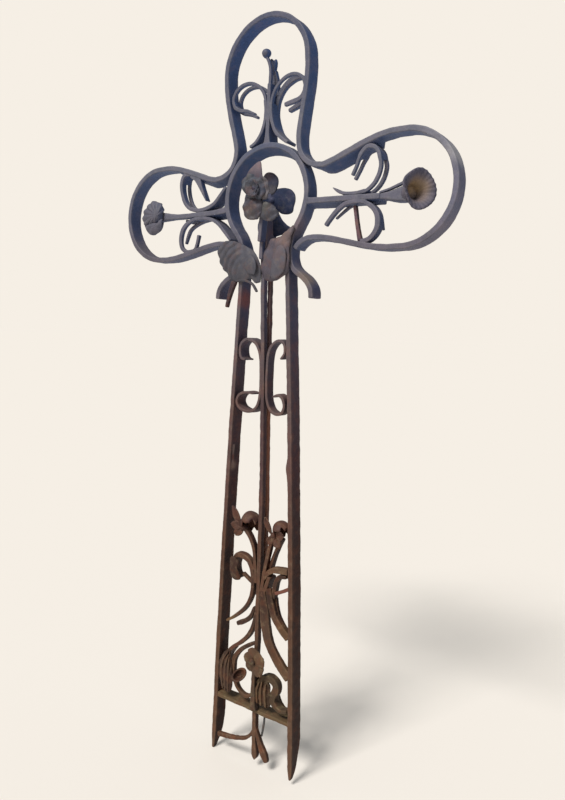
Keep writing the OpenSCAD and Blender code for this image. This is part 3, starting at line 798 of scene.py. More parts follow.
piece(
    "top_left_scroll",
    split_scroll(
        [[-36, 1061], [-24, 1067], [-13, 1080], [-6, 1097], [-4, 1116], [-6, 1134]],
        [
            [-4, 1118], [-6, 1136], [-14, 1151], [-26, 1161], [-42, 1166], [-58, 1164], [-70, 1156],
            [-75, 1144], [-71, 1131],
        ],
        [[0, 5], [0.5, 6], [1, 5.5]], [[0, 5], [0.3, 5], [0.6, 5.5], [1, 6]],
        ([[-72, 1132], [-60, 1125], [-45, 1122], [-27, 1114.5]], [[0, 6], [0.7, 5.5], [1, 2]]),
        ([[-73, 1132], [-66, 1127], [-52, 1123], [-35, 1114]], [[0, 8], [0.6, 8], [1, 4]]), 8,
    )
    + [bend([[-75, 1144], [-73, 1134], [-66, 1128]], [[0, 5], [1, 6]], FRONT + 1.2, BACK - 1.2)],
)
piece(
    "top_right_scroll",
    split_scroll(
        [[42, 1058], [29, 1067], [16, 1080], [9, 1097], [6, 1112], [6.5, 1126]],
        [
            [6, 1112], [8, 1133], [17, 1150], [31, 1160.5], [47, 1164], [61, 1160], [70, 1151], [73, 1138],
            [67, 1126],
        ],
        [[0, 5], [0.5, 6.5], [1, 6]], [[0, 5], [0.45, 5.5], [1, 5.5]],
        ([[72, 1130], [62, 1123], [48, 1120.5], [34, 1118.5]], [[0, 7], [0.7, 7.5], [1, 6.5]]),
        ([[70, 1130], [58, 1124], [46, 1119], [31, 1114]], [[0, 8], [0.7, 8], [1, 6]]), 7,
        [[0, 5], [0.2, 9], [0.4, 10], [0.6, 6], [1, 6]], 10,
    ),
)

# ---------- Left arm ----------

piece("left_arm_stem", [
    bend(
        [[-84, 963], [-95, 960], [-130, 958.5], [-170, 958.5]], [[0, 22], [0.15, 11], [0.5, 9], [1, 8.5]],
        FRONT + 0.5, BACK - 0.5, lip=(1, [[0, 4], [0.5, 5.5], [1, 6]]),
    ),
    bend(
        [[-165, 958.5], [-200, 959], [-228, 960.5], [-254, 962]],
        [[0, 8.5], [0.45, 9.5], [0.8, 15], [1, 19]], -10, 3, round_r=4,
    ),
    bend([[-165, 952], [-182, 950], [-196, 953]], [[0, 9], [1, 5]], 2, BACK - 1),
])


def trumpet(foot_r, mouth_r, length, wall, lobes, lobe_h, ribs, rib_h, flare, phase):
    """Hollow flower turned about +Z, with a lobed and ribbed mouth."""
    u = np.linspace(0, 1, 26)
    outer = np.stack([foot_r + (mouth_r - foot_r) * u**flare, length * u], 1)
    inner = outer[:3:-1] - np.stack([np.full(22, wall * 0.7), np.full(22, -0.7 * wall)], 1)
    inner[0] += [0.5 * wall, -0.3]
    profile = np.concatenate([[[1.0, -1]], outer, inner, [[1.0, inner[-1, 1] - 1]]])

    def shape(r, h, a, k):
        open_up = np.clip(h / length, 0, 1) ** 2
        wave = lobe_h * np.cos(lobes * a + phase) + 0.5 * lobe_h * np.sin(2 * a + 2 * phase)
        r = r * (1 + open_up * wave)
        r = r + rib_h * 0.25 * open_up * np.cos(ribs * a)
        h = h + rib_h * open_up * np.cos(ribs * a + 0.5)
        h = h - 24.0 * open_up * np.cos(lobes * a + phase + 0.6) * lobe_h
        return r, h, a

    return lathe(profile, 120, shape)


def towards(origin, yaw, tilt):
    """Turns +Z by tilt about Y and then by yaw about Z, at the origin."""
    turns = Matrix.Rotation(math.radians(yaw), 4, "Z") @ Matrix.Rotation(math.radians(tilt), 4, "Y")
    return Matrix.Translation(origin) @ turns


upper_lobe = [
    [-240, 974], [-243, 984], [-252, 988], [-268, 992], [-283, 984], [-293, 972], [-295, 959], [-290, 950],
    [-276, 948], [-256, 950], [-243, 958],
]
lower_lobe = [
    [-241, 958], [-244, 948], [-256, 950], [-272, 950], [-284, 946], [-283, 938], [-276, 932], [-264, 929],
    [-250, 932], [-241, 941],
]
rear_lobe = [
    [-255, 972], [-264, 982], [-280, 984], [-292, 974], [-297, 958], [-292, 944], [-280, 936], [-264, 938],
    [-255, 948],
]
crumple = [
    fan(upper_lobe, (-249, 963), -12, 9, 11, 1.7, thickness=4, seed=11),
    fan(lower_lobe, (-252, 945), -13, 7, 6, 1.2, thickness=4, seed=12),
    fan(rear_lobe, (-266, 960), 0, -9, 9, 1.2, thickness=4, seed=13),
    fan(rear_lobe, (-266, 960), -6, 2, 7, 0.9, thickness=5, seed=14),
]
piece("left_trumpet", [washed(f, "#53525c", 0.45) for f in crumple])
piece(
    "left_upper_scroll",
    split_scroll(
        [[-88, 1000], [-100, 988], [-114, 975], [-132, 968], [-152, 966], [-170, 970]],
        [[-152, 966], [-170, 969], [-184, 980], [-192, 996], [-195, 1013], [-193, 1026]],
        [[0, 5.5], [0.5, 7], [1, 7]], [[0, 5], [0.5, 7], [1, 7]],
        ([[-172, 1030], [-156, 1022], [-147, 1006], [-133, 981]], [[0, 9], [0.4, 13], [1, 1.5]]), None, 13,
        None, 6,
    )
    + [
        bend(
            [[-195, 1018], [-192, 1028], [-184, 1033], [-172, 1032]], [[0, 7], [1, 8]], FRONT + 1.2,
            BACK - 1.2,
        ),
        bend([[-174, 1030], [-166, 1020], [-161, 1010]], [[0, 9], [1, 3]], BACK - 9, BACK - 1.2),
    ],
)
piece("left_lower_scroll", [
    bend(
        [[-74, 908], [-88, 923], [-102, 937], [-118, 946.5], [-138, 951], [-160, 951]],
        [[0, 5], [0.5, 6], [1, 6]], FRONT + INSET, BACK - INSET,
    ),
    bend(
        [
            [-138, 951], [-160, 951], [-178, 945], [-190, 934], [-195, 918], [-192, 902], [-182, 894.5],
            [-168, 894], [-157, 899], [-150, 922],
        ],
        [[0, 5], [0.35, 8], [0.6, 7], [0.85, 6], [1, 5.5]], FRONT + 0.9, FRONT + 8,
    ),
    bend(
        [[-138, 951], [-155, 949], [-173, 944], [-188, 935], [-195, 922], [-199, 911]],
        [[0, 5], [0.7, 6], [1, 3]], BACK - 8, BACK - 0.9,
    ),
])

# ---------- Right arm ----------

piece("right_arm_stem", [
    bend(
        [[84, 962], [100, 961], [150, 959.5], [215, 957]], [[0, 14], [0.15, 9.5], [1, 8.5]], FRONT + 0.5,
        BACK - 0.5, lip=(-1, [[0, 4], [0.5, 5.5], [1, 5]]),
    ),
    bend(
        [[205, 957], [224, 956.5], [240, 956], [258, 957]], [[0, 9], [0.3, 11], [0.7, 20], [1, 26]], -12, 6,
        round_r=6, rough=0.5,
    ),
    bend([[214, 962], [232, 966], [254, 973]], [[0, 3], [1, 4]], -13, -6, round_r=1.6),
])
mouth = washed(
    place(trumpet(11, 29, 30, 2.4, 4, 0.04, 23, 0.45, 2.8, 1), towards((256, -4, 957), -30, 86)), "#625d68",
    0.75,
)
throat = [
    ((283, -17, 961), 16, "#b79a74", 0.95), ((268, -9, 963), 12, "#b0936c", 0.9),
    ((268, -12, 948), 8, "#26242c", 0.95),
]
piece("right_trumpet", [painted(mouth, *throat)])
piece(
    "right_upper_scroll",
    split_scroll(
        [[133, 977], [143, 970], [157, 966.5], [174, 965.5], [190, 967.5]],
        [[174, 965.5], [190, 967], [203, 976], [211, 989], [214, 1004], [210, 1019]],
        [[0, 1.5], [0.3, 5], [1, 5.5]], [[0, 5], [0.5, 6], [1, 6]],
        ([[181, 1024], [176, 1015], [172, 1004], [166, 992]], [[0, 5.5], [1, 4.5]]),
        ([[181, 1024], [174, 1014], [168, 1003], [160, 990]], [[0, 5.5], [1, 4.5]]), 7.5,
    )
    + [
        bend(
            [[212, 1012], [209, 1022], [202, 1030], [190, 1032], [180, 1024], [177, 1017]],
            [[0, 6.5], [1, 6.5]], FRONT + 1.2, BACK - 1.2,
        ),
    ],
)
piece("right_lower_scroll", [
    bend(
        [[121, 920], [131, 932], [142, 943], [156, 951], [174, 953]], [[0, 6], [0.5, 7], [1, 6]],
        FRONT + 0.4, FRONT + 8,
    ),
    bend([[128, 933], [142, 943], [156, 951], [174, 953]], [[0, 3], [1, 6]], BACK - PRONG_D, BACK - 0.4),
    bend([[160, 952], [176, 953], [192, 950]], 7, FRONT + INSET, BACK - INSET),
    bend(
        [[180, 952.5], [192, 949], [205, 940], [212, 928], [213, 914], [207, 902], [197, 894], [184, 892]],
        [[0, 6], [0.5, 9], [1, 7]], FRONT + 0.6, 2,
    ),
    bend(
        [[180, 952.5], [192, 949], [203, 940], [209, 926], [212, 910]], [[0, 5], [1, 3]], BACK - PRONG_D,
        BACK - 0.4,
    ),
])
piece("right_arm_strut", [bend([[168, 948], [172, 925], [179, 894]], [[0, 5], [1, 7]], -5, 3, rough=0.35)])

# ---------- Ring and neck ----------

FLOWER_Y = (-32, 30)
front_spear = [[-26, 1000], [-24, 1010], [-14, 1020], [1, 1029], [6, 1019], [8, 1007], [9, 996], [-8, 992]]
front_upper = [
    [-27, 1006], [-31, 998], [-29, 987], [-23, 976], [-14, 971], [0, 967], [12, 967], [17, 975], [15, 988],
    [9, 999], [-5, 1007], [-19, 1010],
]
front_left = [
    [-25, 977], [-27, 966], [-27, 957], [-26, 947], [-22, 939], [-10, 935], [3, 936], [9, 942], [11, 954],
    [7, 966], [-8, 970],
]
front_low = [
    [4, 960], [1, 948], [6, 938], [18, 932], [32, 932], [40, 939], [39, 947], [30, 955], [21, 961],
    [11, 963],
]
front_right = [[4, 1000], [2, 986], [6, 972], [16, 966], [21, 974], [22, 988], [17, 999], [10, 1004]]


def crumple_waves(x, z, f):
    """Uneven dents of a hand-beaten petal."""
    slow = 1.9 * np.sin(0.26 * x + 0.17 * z) * f
    return slow + 1.5 * np.sin(0.42 * z - 0.15 * x + 1.0) * f + 0.7 * np.sin(0.8 * x) * f


heart_m = upright((-3, -36, 985))
heart_petals = [(70, 15, 19, 22), (150, 18, 21, 14), (225, 16, 19, 22), (300, 17, 20, 16), (10, 14, 18, 24)]
heart = [place(f, heart_m) for f in blossom(heart_petals, 5, 2, 3, ruffle=1.2, curl=1.5)]
heart_shades = ["#454955", "#4c4e56", "#46434a", "#40424d", "#3a3e4c", "#30364a"]
piece("front_flower", [
    painted(
        washed(fan(front_spear, (-6, 1002), -31, 3, 3, 0.8, seed=12), "#5a515c", 0.85),
        ((-4, -32, 1024), 14, "#7a6a70", 0.7),
    ),
    painted(
        washed(fan(front_right, (10, 984), -30, 3, 3, 0.8, seed=17, wave=crumple_waves), "#5d5a5f", 0.8),
        ((8, -32, 974), 10, "#857a76", 0.6),
    ),
    painted(
        washed(fan(front_low, (18, 950), -29, 4, 4, 1.2, seed=14, wave=crumple_waves), "#484850", 0.92),
        ((14, -32, 956), 12, "#605e58", 0.6),
    ),
    painted(
        washed(fan(front_left, (-6, 958), -33, 4, 4, 1.0, seed=15, wave=crumple_waves), "#47444c", 0.92),
        ((-12, -36, 944), 12, "#5a5656", 0.5),
    ),
    painted(
        washed(fan(front_upper, (-8, 988), -34, 5, 5, 1.4, seed=16, wave=crumple_waves), "#484c56", 0.92),
        ((-16, -40, 996), 10, "#5f646a", 0.6), ((12, -36, 978), 12, "#3c4252", 0.7),
    ),
    *[washed(f, c, 0.85) for f, c in zip(heart, heart_shades)],
    bend([[1, 872], [1, 905]], 7, FRONT - 8, FRONT + 3, round_r=2.5),
    bend([[2, 900], [5, 935], [5, 972]], [[0, 7], [1, 8]], -29, FRONT + 1, round_r=2.5),
    washed(bend([[3, 872], [4, 910], [3, 945]], [[0, 6], [1, 8]], FRONT, 4, round_r=2.5), "#4a3f4c", 0.7),
])
rear_top = [
    [-35, 1003], [-35, 1015], [-31, 1023], [-23, 1026], [-12, 1023], [-4, 1016], [-1, 1008], [-3, 1000],
    [-12, 988], [-28, 989],
]
rear_right = [
    [-21, 991], [-13, 996], [3, 997], [14, 996], [25, 992], [32, 984], [34, 974], [31, 963], [29, 955],
    [20, 952], [6, 954], [-4, 961], [-15, 973], [-21, 982],
]
rear_low = [
    [-38, 950], [-42, 938], [-40, 925], [-30, 917], [-12, 914], [8, 917], [22, 920], [30, 927], [21, 933],
    [10, 943], [0, 956], [-18, 960],
]
rear_left = [[-16, 990], [-34, 992], [-44, 984], [-46, 972], [-38, 962], [-24, 960], [-8, 966]]
# The dark blue washes on the rear flower's petals and ball are painted shade.
piece("rear_flower", [
    painted(
        washed(fan(rear_top, (-17, 1004), 27, 3, 3, 0.5, seed=8), "#3d4256", 0.9),
        ((-22, 24, 1022), 12, "#6c5c60", 0.7), ((-14, 24, 994), 10, "#6f6a6c", 0.6),
    ),
    washed(fan(rear_right, (6, 975), 29, 3, 3, 0.6, seed=9), "#232e4a", 0.97),
    washed(fan(rear_low, (-10, 936), 25, 3, 3, 0.5, seed=10), "#2b3552", 0.95),
    washed(fan(rear_left, (-28, 976), 26, 2, 3, 0.5, seed=18), "#2b3552", 0.9),
    washed(ball((-14, 28, 977), 8, 0.9), "#2b3552", 0.9),
    washed(
        bend(
            [[-4, 872], [-8, 905], [-11, 940], [-14, 972]], [[0, 8], [1, 7]], 6, FLOWER_Y[1] + 1,
            round_r=2.5,
        ),
        "#453d4c", 0.8,
    ),
])
left_leaf = [
    [-3, 834], [-2, 856], [-6, 870], [-18, 886], [-31, 894], [-46, 900], [-63, 906], [-82, 906], [-93, 900],
    [-97, 889], [-95, 876], [-87, 862], [-76, 851], [-66, 840], [-50, 835], [-34, 837], [-20, 840],
    [-10, 832],
]
ear = [[-10, 846], [-6, 858], [-8, 870], [-16, 878], [-26, 876], [-30, 862], [-22, 848]]
right_leaf = [
    [0, 842], [-2, 856], [-4, 872], [2, 884], [9, 895], [16, 904], [28, 906], [40, 908], [52, 915],
    [63, 924], [65, 915], [60, 904], [58, 890], [58, 874], [56, 854], [44, 840], [26, 835], [10, 836],
]
fold_leaf = [
    [24, 842], [27, 862], [31, 880], [40, 892], [51, 889], [55, 870], [51, 852], [41, 841], [30, 837],
]


def leaf_waves(x, z, f):
    """Ribs that curl across the left half of a leaf and fade out towards its right half."""
    r = np.hypot(x + 30, z - 850)
    return (
        1.6 * np.sin(r / 2.1 + 0.05 * z) * np.clip((-34 - x) / 25, 0, 1)
        + 1.2 * np.sin(0.3 * x + 0.1 * z) * f
    )


def fold_waves(x, z, f):
    """One upright fold, with the right half standing forward."""
    fold = -2.2 * np.tanh((x - 26 - (z - 860) * 0.12) / 3)
    return fold + 1.5 * np.sin(0.24 * z + 0.1 * x) * f + 0.9 * np.sin(0.5 * x - 0.2 * z) * f


rim = bend(
    [[-58, 835], [-46, 838], [-32, 837], [-18, 831], [-8, 818]], [[0, 2], [0.5, 4], [1, 3]], FRONT - 6,
    FRONT - 1, round_r=1.6,
)
piece("left_neck_leaf", [
    washed(
        fan(left_leaf, (-40, 868), FRONT - 2, 7, 3, 0.4, rows=34, seed=1, wave=leaf_waves), "#4b4d55", 0.75,
    ),
    washed(fan(ear, (-17, 862), FRONT - 9, 3, 2, 0.4, seed=5), "#4f5057", 0.75),
    washed(rim, "#45464e", 0.8),
])
piece("right_neck_leaf", [
    painted(
        washed(fan(right_leaf, (24, 868), FRONT - 2, 6, 4, 0.7, seed=2, wave=fold_waves), "#565059", 0.8),
        ((46, -18, 910), 20, "#7c6a66", 0.7),
    ),
    washed(fan(fold_leaf, (38, 864), FRONT - 9, 4, 4, 0.7, seed=6), "#5a5860", 0.8),
])
tendril = bend(
    [[-56, 836], [-64, 818], [-72, 792]], [[0, 10], [0.5, 8], [1, 4]], FRONT - 9, FRONT - 1, round_r=2,
)
piece("neck_tendril", [washed(tendril, "#3f3038", 0.95)])

# ---------- Lyre scrolls ----------

piece("left_lyre", [
    bend(
        [
            [-34, 702], [-42, 704], [-46, 714], [-45, 727], [-36, 736], [-24, 737], [-10, 729], [-2, 713],
            [1, 690], [1.5, 665], [0, 640], [-6, 622], [-18, 613], [-32, 612], [-46, 618], [-51, 629],
            [-45, 640], [-31, 645], [-16, 643],
        ],
        [[0, 3], [0.1, 5], [0.9, 5], [1, 3]], FRONT + INSET, BACK - INSET,
    ),
])
piece("right_lyre", [
    bend(
        [
            [42, 706], [50, 716], [49, 730], [40, 737], [28, 733], [19, 722], [15, 705], [14, 680],
            [14, 655], [16, 634], [23, 619], [35, 612], [47, 615], [52, 627], [48, 640], [38, 645],
            [28, 641],
        ],
        [[0, 3], [0.1, 5], [0.9, 5], [1, 3]], FRONT + INSET, 6,
    ),
])

# ---------- Flower pair of the shaft ----------


def bell(centre, radius, height, yaw, tilt, seed):
    """Hammered dome with a toothed mouth, its inside painted dark as shade; its crown points along -Z turned
    by yaw and tilt.
    """
    a = np.radians(np.linspace(8, 96, 12))
    outer = np.stack([radius * np.sin(a), height * (1 - np.cos(a))], 1)
    inner = outer[:0:-1] * [0.86, 0.95] + [0, 1.4]
    profile = np.concatenate([outer, inner])

    def shape(r, h, a, k):
        teeth = (h / height) ** 3 * (2.2 * np.sin(7 * a + seed) + 1.2 * np.sin(12 * a))
        return r * (1 + 0.06 * np.cos(3 * a + seed)), h + teeth, a

    form = place(lathe(profile, 56, shape), towards(centre, yaw, tilt))
    # Painted shade: the bell's inside is coloured dark brown.
    shaded_inside = np.zeros(len(form[0]))
    shaded_inside[12 * 56 :] = 0.65
    paint = np.concatenate([np.tile(srgb("#5c3627")[:3], (len(shaded_inside), 1)), shaded_inside[:, None]], 1)
    return (*form, paint)


def leaflet(x, z, angle, length, width, lift, seed):
    """Narrow petal in front of a shaft flower, at an angle in the XZ plane."""
    m = upright((x, FRONT + 4, z)) @ Matrix.Rotation(math.radians(angle), 4, "Z")
    return place(petal(length, width, seed, thickness=2.6, ruffle=1.2, curl=lift), m)


piece("left_shaft_flower", [
    bell((-25, 5, 430), 20, 25, -50, 142, 2),
    leaflet(-33, 402, 115, 42, 14, 6, 3),
    leaflet(-31, 405, 178, 22, 17, 6, 4),
    leaflet(-28, 403, 220, 22, 16, 5, 5),
    ball((-28, -9, 404), 7, 0.8),
    bend(
        [[-27, 403], [-14, 390], [-4, 371], [0, 344], [3, 309]], [[0, 7], [1, 7]], FRONT + 0.3, FRONT + 12,
        round_r=2.2,
    ),
])
piece("right_shaft_flower", [
    bell((38, 5, 424), 16, 20, -30, 138, 5),
    leaflet(32, 404, 112, 30, 12, 3, 6),
    leaflet(40, 400, 20, 22, 18, 4, 7),
    leaflet(38, 401, 318, 24, 17, 5, 8),
    leaflet(36, 402, 250, 18, 14, 3, 9),
    ball((38, -8, 402), 7, 0.8),
    bend(
        [[40, 402], [33, 386], [27, 363], [21, 333], [16, 298]], [[0, 7], [1, 7]], FRONT + 0.3, FRONT + 10,
        round_r=2.2,
    ),
    bend(
        [[50, 396], [43, 382], [34, 360], [26, 333], [19, 298]], [[0, 5], [1, 7]], FRONT + 8, BACK - 6,
        round_r=2.2,
    ),
])

# ---------- Lower scrolls ----------

sweep = bend(
    [
        [-14, 344], [-7, 332], [-4, 315], [-4, 297], [-9, 277], [-19, 259], [-32, 245], [-48, 232],
        [-62, 223],
    ],
    [[0, 8], [0.3, 7], [0.8, 7], [1, 4]], FRONT + INSET, -2, rough=0.4,
)
hook_leaf = [
    [-34, 340], [-44, 347], [-53, 344], [-52, 325], [-50, 310], [-42, 306], [-30, 309], [-33, 318],
    [-37, 328],
]
piece("left_tendril", [
    bend(
        [[-47, 343], [-42, 350], [-31, 352], [-18, 348], [-9, 340], [-5, 330]], [[0, 8], [0.5, 10], [1, 8]],
        FRONT + INSET, -1, rough=0.5,
    ),
    painted(sweep, ((-10, -8, 280), 45, "#382521", 0.75), ((-54, -10, 228), 16, "#6b5a3c", 0.6)),
    bend(
        [[-14, 344], [-8, 332], [-6, 315], [-7, 297], [-12, 279]], [[0, 7], [1, 4]], -2, BACK - 1,
        rough=0.4,
    ),
    washed(fan(hook_leaf, (-44, 326), FRONT - 1, 4, 4, 1.0, seed=31), "#33231f", 0.7),
    bend([[-46, 344], [-50, 328], [-47, 313], [-38, 308]], [[0, 7], [1, 6]], FRONT + 1, BACK - 2),
    washed(
        bend(
            [[0, 264], [-7, 246], [-20, 233], [-38, 223]], [[0, 5], [0.4, 8], [0.8, 9], [1, 7]], FRONT + 2,
            FRONT + 11, rough=0.4,
        ),
        "#33231f", 0.85,
    ),
    bend([[-4, 300], [-16, 306], [-34, 316]], [[0, 5], [1, 6]], -4, 4),
])
khaki = ((52, -10, 345), 24, "#6d5842", 0.5)
arch = bend(
    [[20, 320], [30, 334], [42, 341], [56, 343], [70, 344]], [[0, 7], [0.5, 11], [1, 11]], FRONT + 1,
    FRONT + 12, rough=0.5,
)
hook = bend(
    [[66, 333], [53, 331], [45, 320], [42, 304], [40, 289]], [[0, 7], [0.6, 9], [1, 8]], FRONT + 3,
    FRONT + 14, rough=0.4,
)
band = bend(
    [[31, 306], [37, 280], [45, 259], [59, 242], [76, 228]], [[0, 12], [0.3, 14], [0.7, 14], [1, 15]],
    FRONT + INSET, FRONT + 9, rough=0.5,
)
piece("right_tendril", [
    painted(arch, khaki),
    washed(hook, "#2a1c1a", 0.7),
    painted(band, ((34, -12, 290), 30, "#2e1e1b", 0.85), ((70, -12, 232), 24, "#5f482f", 0.6)),
    bend([[42, 290], [45, 272], [52, 255], [62, 242], [74, 232]], 5, FRONT + 8, 2, rough=0.4),
    washed(bend([[45, 300], [58, 306], [74, 315]], 6, FRONT + 2, FRONT + 7), "#7c4c42", 0.7),
    bend([[17, 288], [24, 304], [32, 326]], [[0, 8], [1, 7]], FRONT + 0.5, BACK - 6),
])
strap = bend(
    [
        [6, 263], [3, 245], [-4, 222], [-15, 204], [-31, 188], [-46, 176], [-57, 163], [-65, 146],
        [-67, 128], [-62, 104],
    ],
    [[0, 5], [0.3, 7.5], [0.7, 7], [1, 6]], FRONT + INSET, -1,
)
rear_strap = bend([[-50, 170], [-62, 152], [-66, 130], [-62, 106]], [[0, 4], [1, 6]], -2, BACK - 2)
piece("left_strap", [
    painted(strap, ((0, -8, 238), 32, "#35231f", 0.8), ((-40, -8, 182), 26, "#5a332b", 0.6)),
    rear_strap,
])
wide = bend(
    [[17, 300], [23, 268], [27, 236], [34, 212], [47, 190], [63, 172], [80, 157]],
    [[0, 12], [0.2, 20], [0.5, 18], [1, 18]], FRONT + INSET, FRONT + 9, rough=0.7,
)
piece("right_strap", [
    painted(
        wide, ((22, -12, 278), 34, "#37251f", 0.8), ((30, -12, 224), 26, "#4d3b30", 0.6),
        ((70, -12, 166), 26, "#5d4733", 0.6),
    ),
])

# ---------- Foot ----------

rosette_m = upright((9, FRONT - 6, 170))
petals = [(92, 24, 26, 4), (24, 30, 28, 12), (166, 20, 24, 9), (240, 22, 25, 2), (312, 29, 27, 8)]
rosette_look = {"thickness": 3.0, "cup": -3, "curl": -2, "ruffle": 0.4}
rosette = [place(f, rosette_m) for f in blossom(petals, 7, 4, 40, **rosette_look)]
piece(
    "rosette",
    [
        washed(f, shade, 0.75)
        for f, shade in zip(rosette, ["#5a4132", "#614836", "#4e3a2e", "#463328", "#523c2f", "#3a2a24"])
    ]
    + [
        washed(
            bend(
                [[10, 164], [9, 130], [9, 104], [9, 79]], [[0, 6], [0.5, 9], [0.8, 11], [1, 16]], FRONT - 7,
                FRONT + 4, round_r=3, rough=0.6,
            ),
            "#3a2a2b", 0.6,
        ),
    ],
)


def bowl(half_long, half_short, depth, wall):
    """Open oval cup with its mouth towards +Z and its long side along X."""
    a = np.radians(np.linspace(6, 88, 12))
    outer = np.stack([np.sin(a), -np.cos(a)], 1)
    inner = outer[::-1] * (1 - wall / half_short) + [0, 0.05]
    profile = np.concatenate([outer, inner])
    k = half_long / half_short

    def shape(r, h, a, t):
        return r * half_short, h * depth + 0.5 * np.cos(3 * a), a

    pos, faces, wear = lathe(profile, 40, shape)
    pos[:, 0] *= k
    return pos, faces, wear


def set_mouth(origin, long_way, opening):
    """Matrix that puts +X near long_way and +Z along the opening, at the origin."""
    z = Vector(opening).normalized()
    x = (Vector(long_way) - z * Vector(long_way).dot(z)).normalized()
    m = Matrix((x, z.cross(x), z)).transposed().to_4x4()
    return Matrix.Translation(origin) @ m


cup = place(bowl(16, 10.5, 12, 2.8), set_mouth((-25, -17, 132), (0.62, 0.3, 0.72), (0.28, -0.86, 0.42)))
curve = bend(
    [
        [6, 200], [-10, 190], [-26, 178], [-38, 163], [-43, 147], [-42, 126], [-34, 106], [-21, 95],
        [-8, 95], [1, 104],
    ],
    [[0, 6], [0.3, 8.5], [0.6, 8], [0.8, 7], [1, 5]], FRONT + INSET, FRONT + 10, rough=0.4,
)
piece("cup_bud_scroll", [
    painted(curve, ((-10, -10, 188), 30, "#33221f", 0.8), ((-30, -10, 106), 26, "#4f3c2c", 0.5)),
    # Painted light and shade inside the cup: the orange-brown spot on its right side is painted light, the
    # near-black spot on its left painted shade.
    painted(
        washed(cup, "#49332a", 0.7), ((-18, -14, 137), 10, "#64402c", 0.8),
        ((-36, -12, 128), 11, "#241614", 0.85),
    ),
    bend([[-36, 122], [-28, 124], [-22, 128]], 5, -14, -6),
])
left_foot = [
    [-50, 172], [-62, 164], [-71, 150], [-75, 132], [-72, 110], [-62, 91], [-47, 91], [-42, 112],
    [-43, 132], [-46, 152],
]
left_ribs = [
    [[-52, 168], [-64, 148], [-67, 124], [-62, 94]], [[-50, 162], [-57, 142], [-59, 120], [-56, 92]],
    [[-48, 158], [-50, 138], [-51, 116], [-50, 92]],
]
piece(
    "left_foot_leaf",
    [washed(fan(left_foot, (-56, 104), FRONT, 3, 8, 1.0, seed=3), "#2d1d1a", 0.8)]
    + [
        washed(
            bend(r, [[0, 2], [0.5, 5], [1, 3]], FRONT - 5, FRONT + 1, round_r=2, rough=0.5), "#4a3a2f", 0.6,
        )
        for r in left_ribs
    ],
)
curl = [
    [14, 126], [20, 136], [30, 142], [43, 143], [53, 136], [53, 125], [48, 115], [47, 105], [54, 97],
    [64, 93], [78, 97],
]
right_foot = [[12, 92], [10, 114], [15, 130], [26, 139], [37, 137], [42, 124], [45, 108], [41, 92], [26, 90]]
right_ribs = [
    [[17, 94], [15, 116], [20, 132]], [[26, 92], [24, 116], [27, 136]], [[36, 92], [33, 116], [35, 134]],
]
piece(
    "right_foot_leaf",
    [
        washed(
            bend(curl, [[0, 8], [0.3, 13], [0.5, 14], [0.7, 12], [1, 5]], FRONT + INSET, 1, rough=0.6),
            "#3d2f26", 0.7,
        ),
        washed(
            bend(
                [[46, 108], [52, 95], [62, 87], [79, 90]], [[0, 6], [0.6, 8], [1, 9]], FRONT + 6, BACK - 3,
                rough=0.5,
            ),
            "#45382a", 0.6,
        ),
        washed(fan(right_foot, (28, 100), FRONT + 3, 3, 6, 1.2, seed=4), "#2c1c18", 0.8),
    ]
    + [
        washed(
            bend(r, [[0, 4], [0.5, 5.5], [1, 3]], FRONT - 4, FRONT + 3, round_r=2, rough=0.5), "#553d2e",
            0.7,
        )
        for r in right_ribs
    ],
)
curled_root = bend(
    [[9, 40], [1, 26], [-11, 14], [-29, 7], [-47, 2], [-77, -3]], [[0, 6], [0.4, 6], [1, 9]], FRONT + 1,
    FRONT + 8, round_r=2.4, rough=0.5,
)
piece("left_root", [curled_root])
piece("right_root", [
    bend(
        [[9, 44], [17, 26], [26, 7], [37, -14]], [[0, 6], [0.5, 10], [0.8, 15], [1, 8]], FRONT + 1,
        FRONT + 9, round_r=2.6, rough=0.5,
    ),
])
rod = bend([[26, 72], [24, 50], [20, 26]], [[0, 3], [1, 3.5]], -5, -1.5, round_r=1.5)
piece("root_rod", [washed(rod, "#4d5357", 0.85)])

# ---------- Floor, light and camera ----------

PAPER = "#f6efe5"
SHADOW_SHARE = 0.92  # part of the floor's brightness that comes from the lamps, and so takes the shadow
KEY_WAY = Vector((0.13, 1.0, -1.25))
KEY_ENERGY = 3.0
KEY_COLOUR = (1.0, 0.975, 0.94)
KEY_SPREAD = 18
FILL = 0.34
FILL_COLOUR = (0.93, 0.97, 1.0)


def paper_floor():
    """Pale floor whose unshaded brightness is exactly that of the backdrop."""
    facing = -KEY_WAY.normalized().z / math.pi
    lamps = [KEY_ENERGY * facing * k + FILL * f for k, f in zip(KEY_COLOUR, FILL_COLOUR)]
    g = Nodes("pale_floor")
    glow = g.add("ShaderNodeEmission")
    glow.inputs["Color"].default_value = srgb(PAPER)
    glow.inputs["Strength"].default_value = 1 - SHADOW_SHARE
    lit = g.add("ShaderNodeBsdfDiffuse")
    lit.inputs["Color"].default_value = [c * SHADOW_SHARE / b for c, b in zip(srgb(PAPER), lamps)] + [1]
    both = g.add("ShaderNodeAddShader")
    g.links.new(glow.outputs[0], both.inputs[0])
    g.links.new(lit.outputs[0], both.inputs[1])
    out = g.add("ShaderNodeOutputMaterial")
    g.links.new(both.outputs[0], out.inputs[0])
    return g.mat


floor_mesh = bpy.data.meshes.new("floor_mesh")
reach = 400.0
corners = [(-reach, -reach), (reach, -reach), (reach, reach), (-reach, reach)]
floor_z = LOW[2] / 1000
floor_mesh.from_pydata([(x, y, floor_z) for x, y in corners], [], [(0, 1, 2, 3)])
floor_mesh.materials.append(paper_floor())
floor = bpy.data.objects.new("floor", floor_mesh)
bpy.context.scene.collection.objects.link(floor)

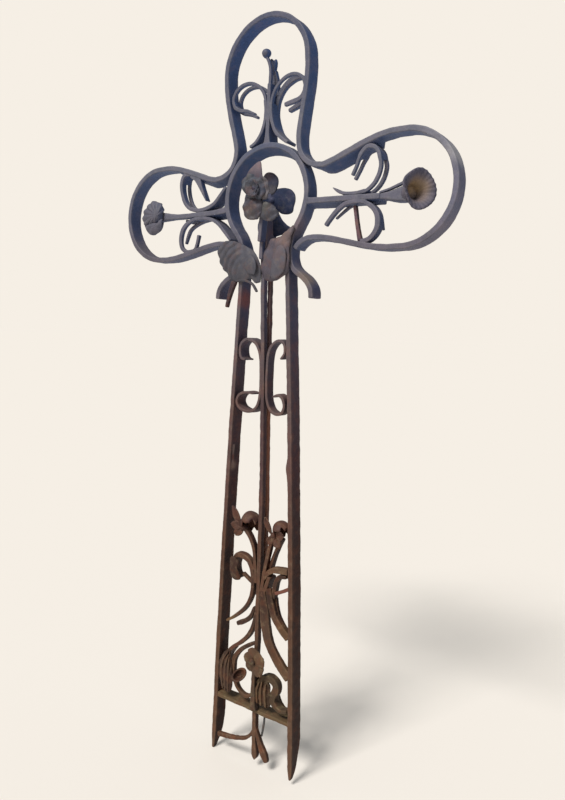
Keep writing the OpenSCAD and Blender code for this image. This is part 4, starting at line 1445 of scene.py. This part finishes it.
world = bpy.data.worlds.new("studio")
world.use_nodes = True
bpy.context.scene.world = world
tree = world.node_tree
tree.nodes.clear()
seen = tree.nodes.new("ShaderNodeBackground")
seen.inputs["Color"].default_value = srgb(PAPER)
fill = tree.nodes.new("ShaderNodeBackground")
fill.inputs["Color"].default_value = (*FILL_COLOUR, 1)
fill.inputs["Strength"].default_value = FILL
path = tree.nodes.new("ShaderNodeLightPath")
pick = tree.nodes.new("ShaderNodeMixShader")
tree.links.new(path.outputs["Is Camera Ray"], pick.inputs[0])
tree.links.new(fill.outputs[0], pick.inputs[1])
tree.links.new(seen.outputs[0], pick.inputs[2])
world_out = tree.nodes.new("ShaderNodeOutputWorld")
tree.links.new(pick.outputs[0], world_out.inputs[0])

key = bpy.data.lights.new("key", "SUN")
key.energy = KEY_ENERGY
key.angle = math.radians(KEY_SPREAD)
key.color = KEY_COLOUR
key_obj = bpy.data.objects.new("key", key)
bpy.context.scene.collection.objects.link(key_obj)
key_obj.rotation_mode = "QUATERNION"
key_obj.rotation_quaternion = KEY_WAY.to_track_quat("-Z", "Y")

YAW, PITCH, ROLL = 0.6206838, 0.0953796, 0.031733
LENS = 29.817
CAMERA_PLACE = (0.6929, -0.9125, 0.7438)
back_v = Vector((math.sin(YAW) * math.cos(PITCH), -math.cos(YAW) * math.cos(PITCH), math.sin(PITCH)))
right_v = Vector((0, 0, 1)).cross(back_v).normalized()
up_v = back_v.cross(right_v)
cam_x = math.cos(ROLL) * right_v + math.sin(ROLL) * up_v
cam_y = -math.sin(ROLL) * right_v + math.cos(ROLL) * up_v
camera = bpy.data.cameras.new("camera")
camera.sensor_width = 36.0
camera.lens = LENS
camera.clip_end = 2000
camera_obj = bpy.data.objects.new("camera", camera)
bpy.context.scene.collection.objects.link(camera_obj)
turn = Matrix((cam_x, cam_y, back_v)).transposed().to_4x4()
camera_obj.matrix_world = Matrix.Translation(CAMERA_PLACE) @ turn
bpy.context.scene.camera = camera_obj
bpy.context.scene.view_settings.view_transform = "Standard"
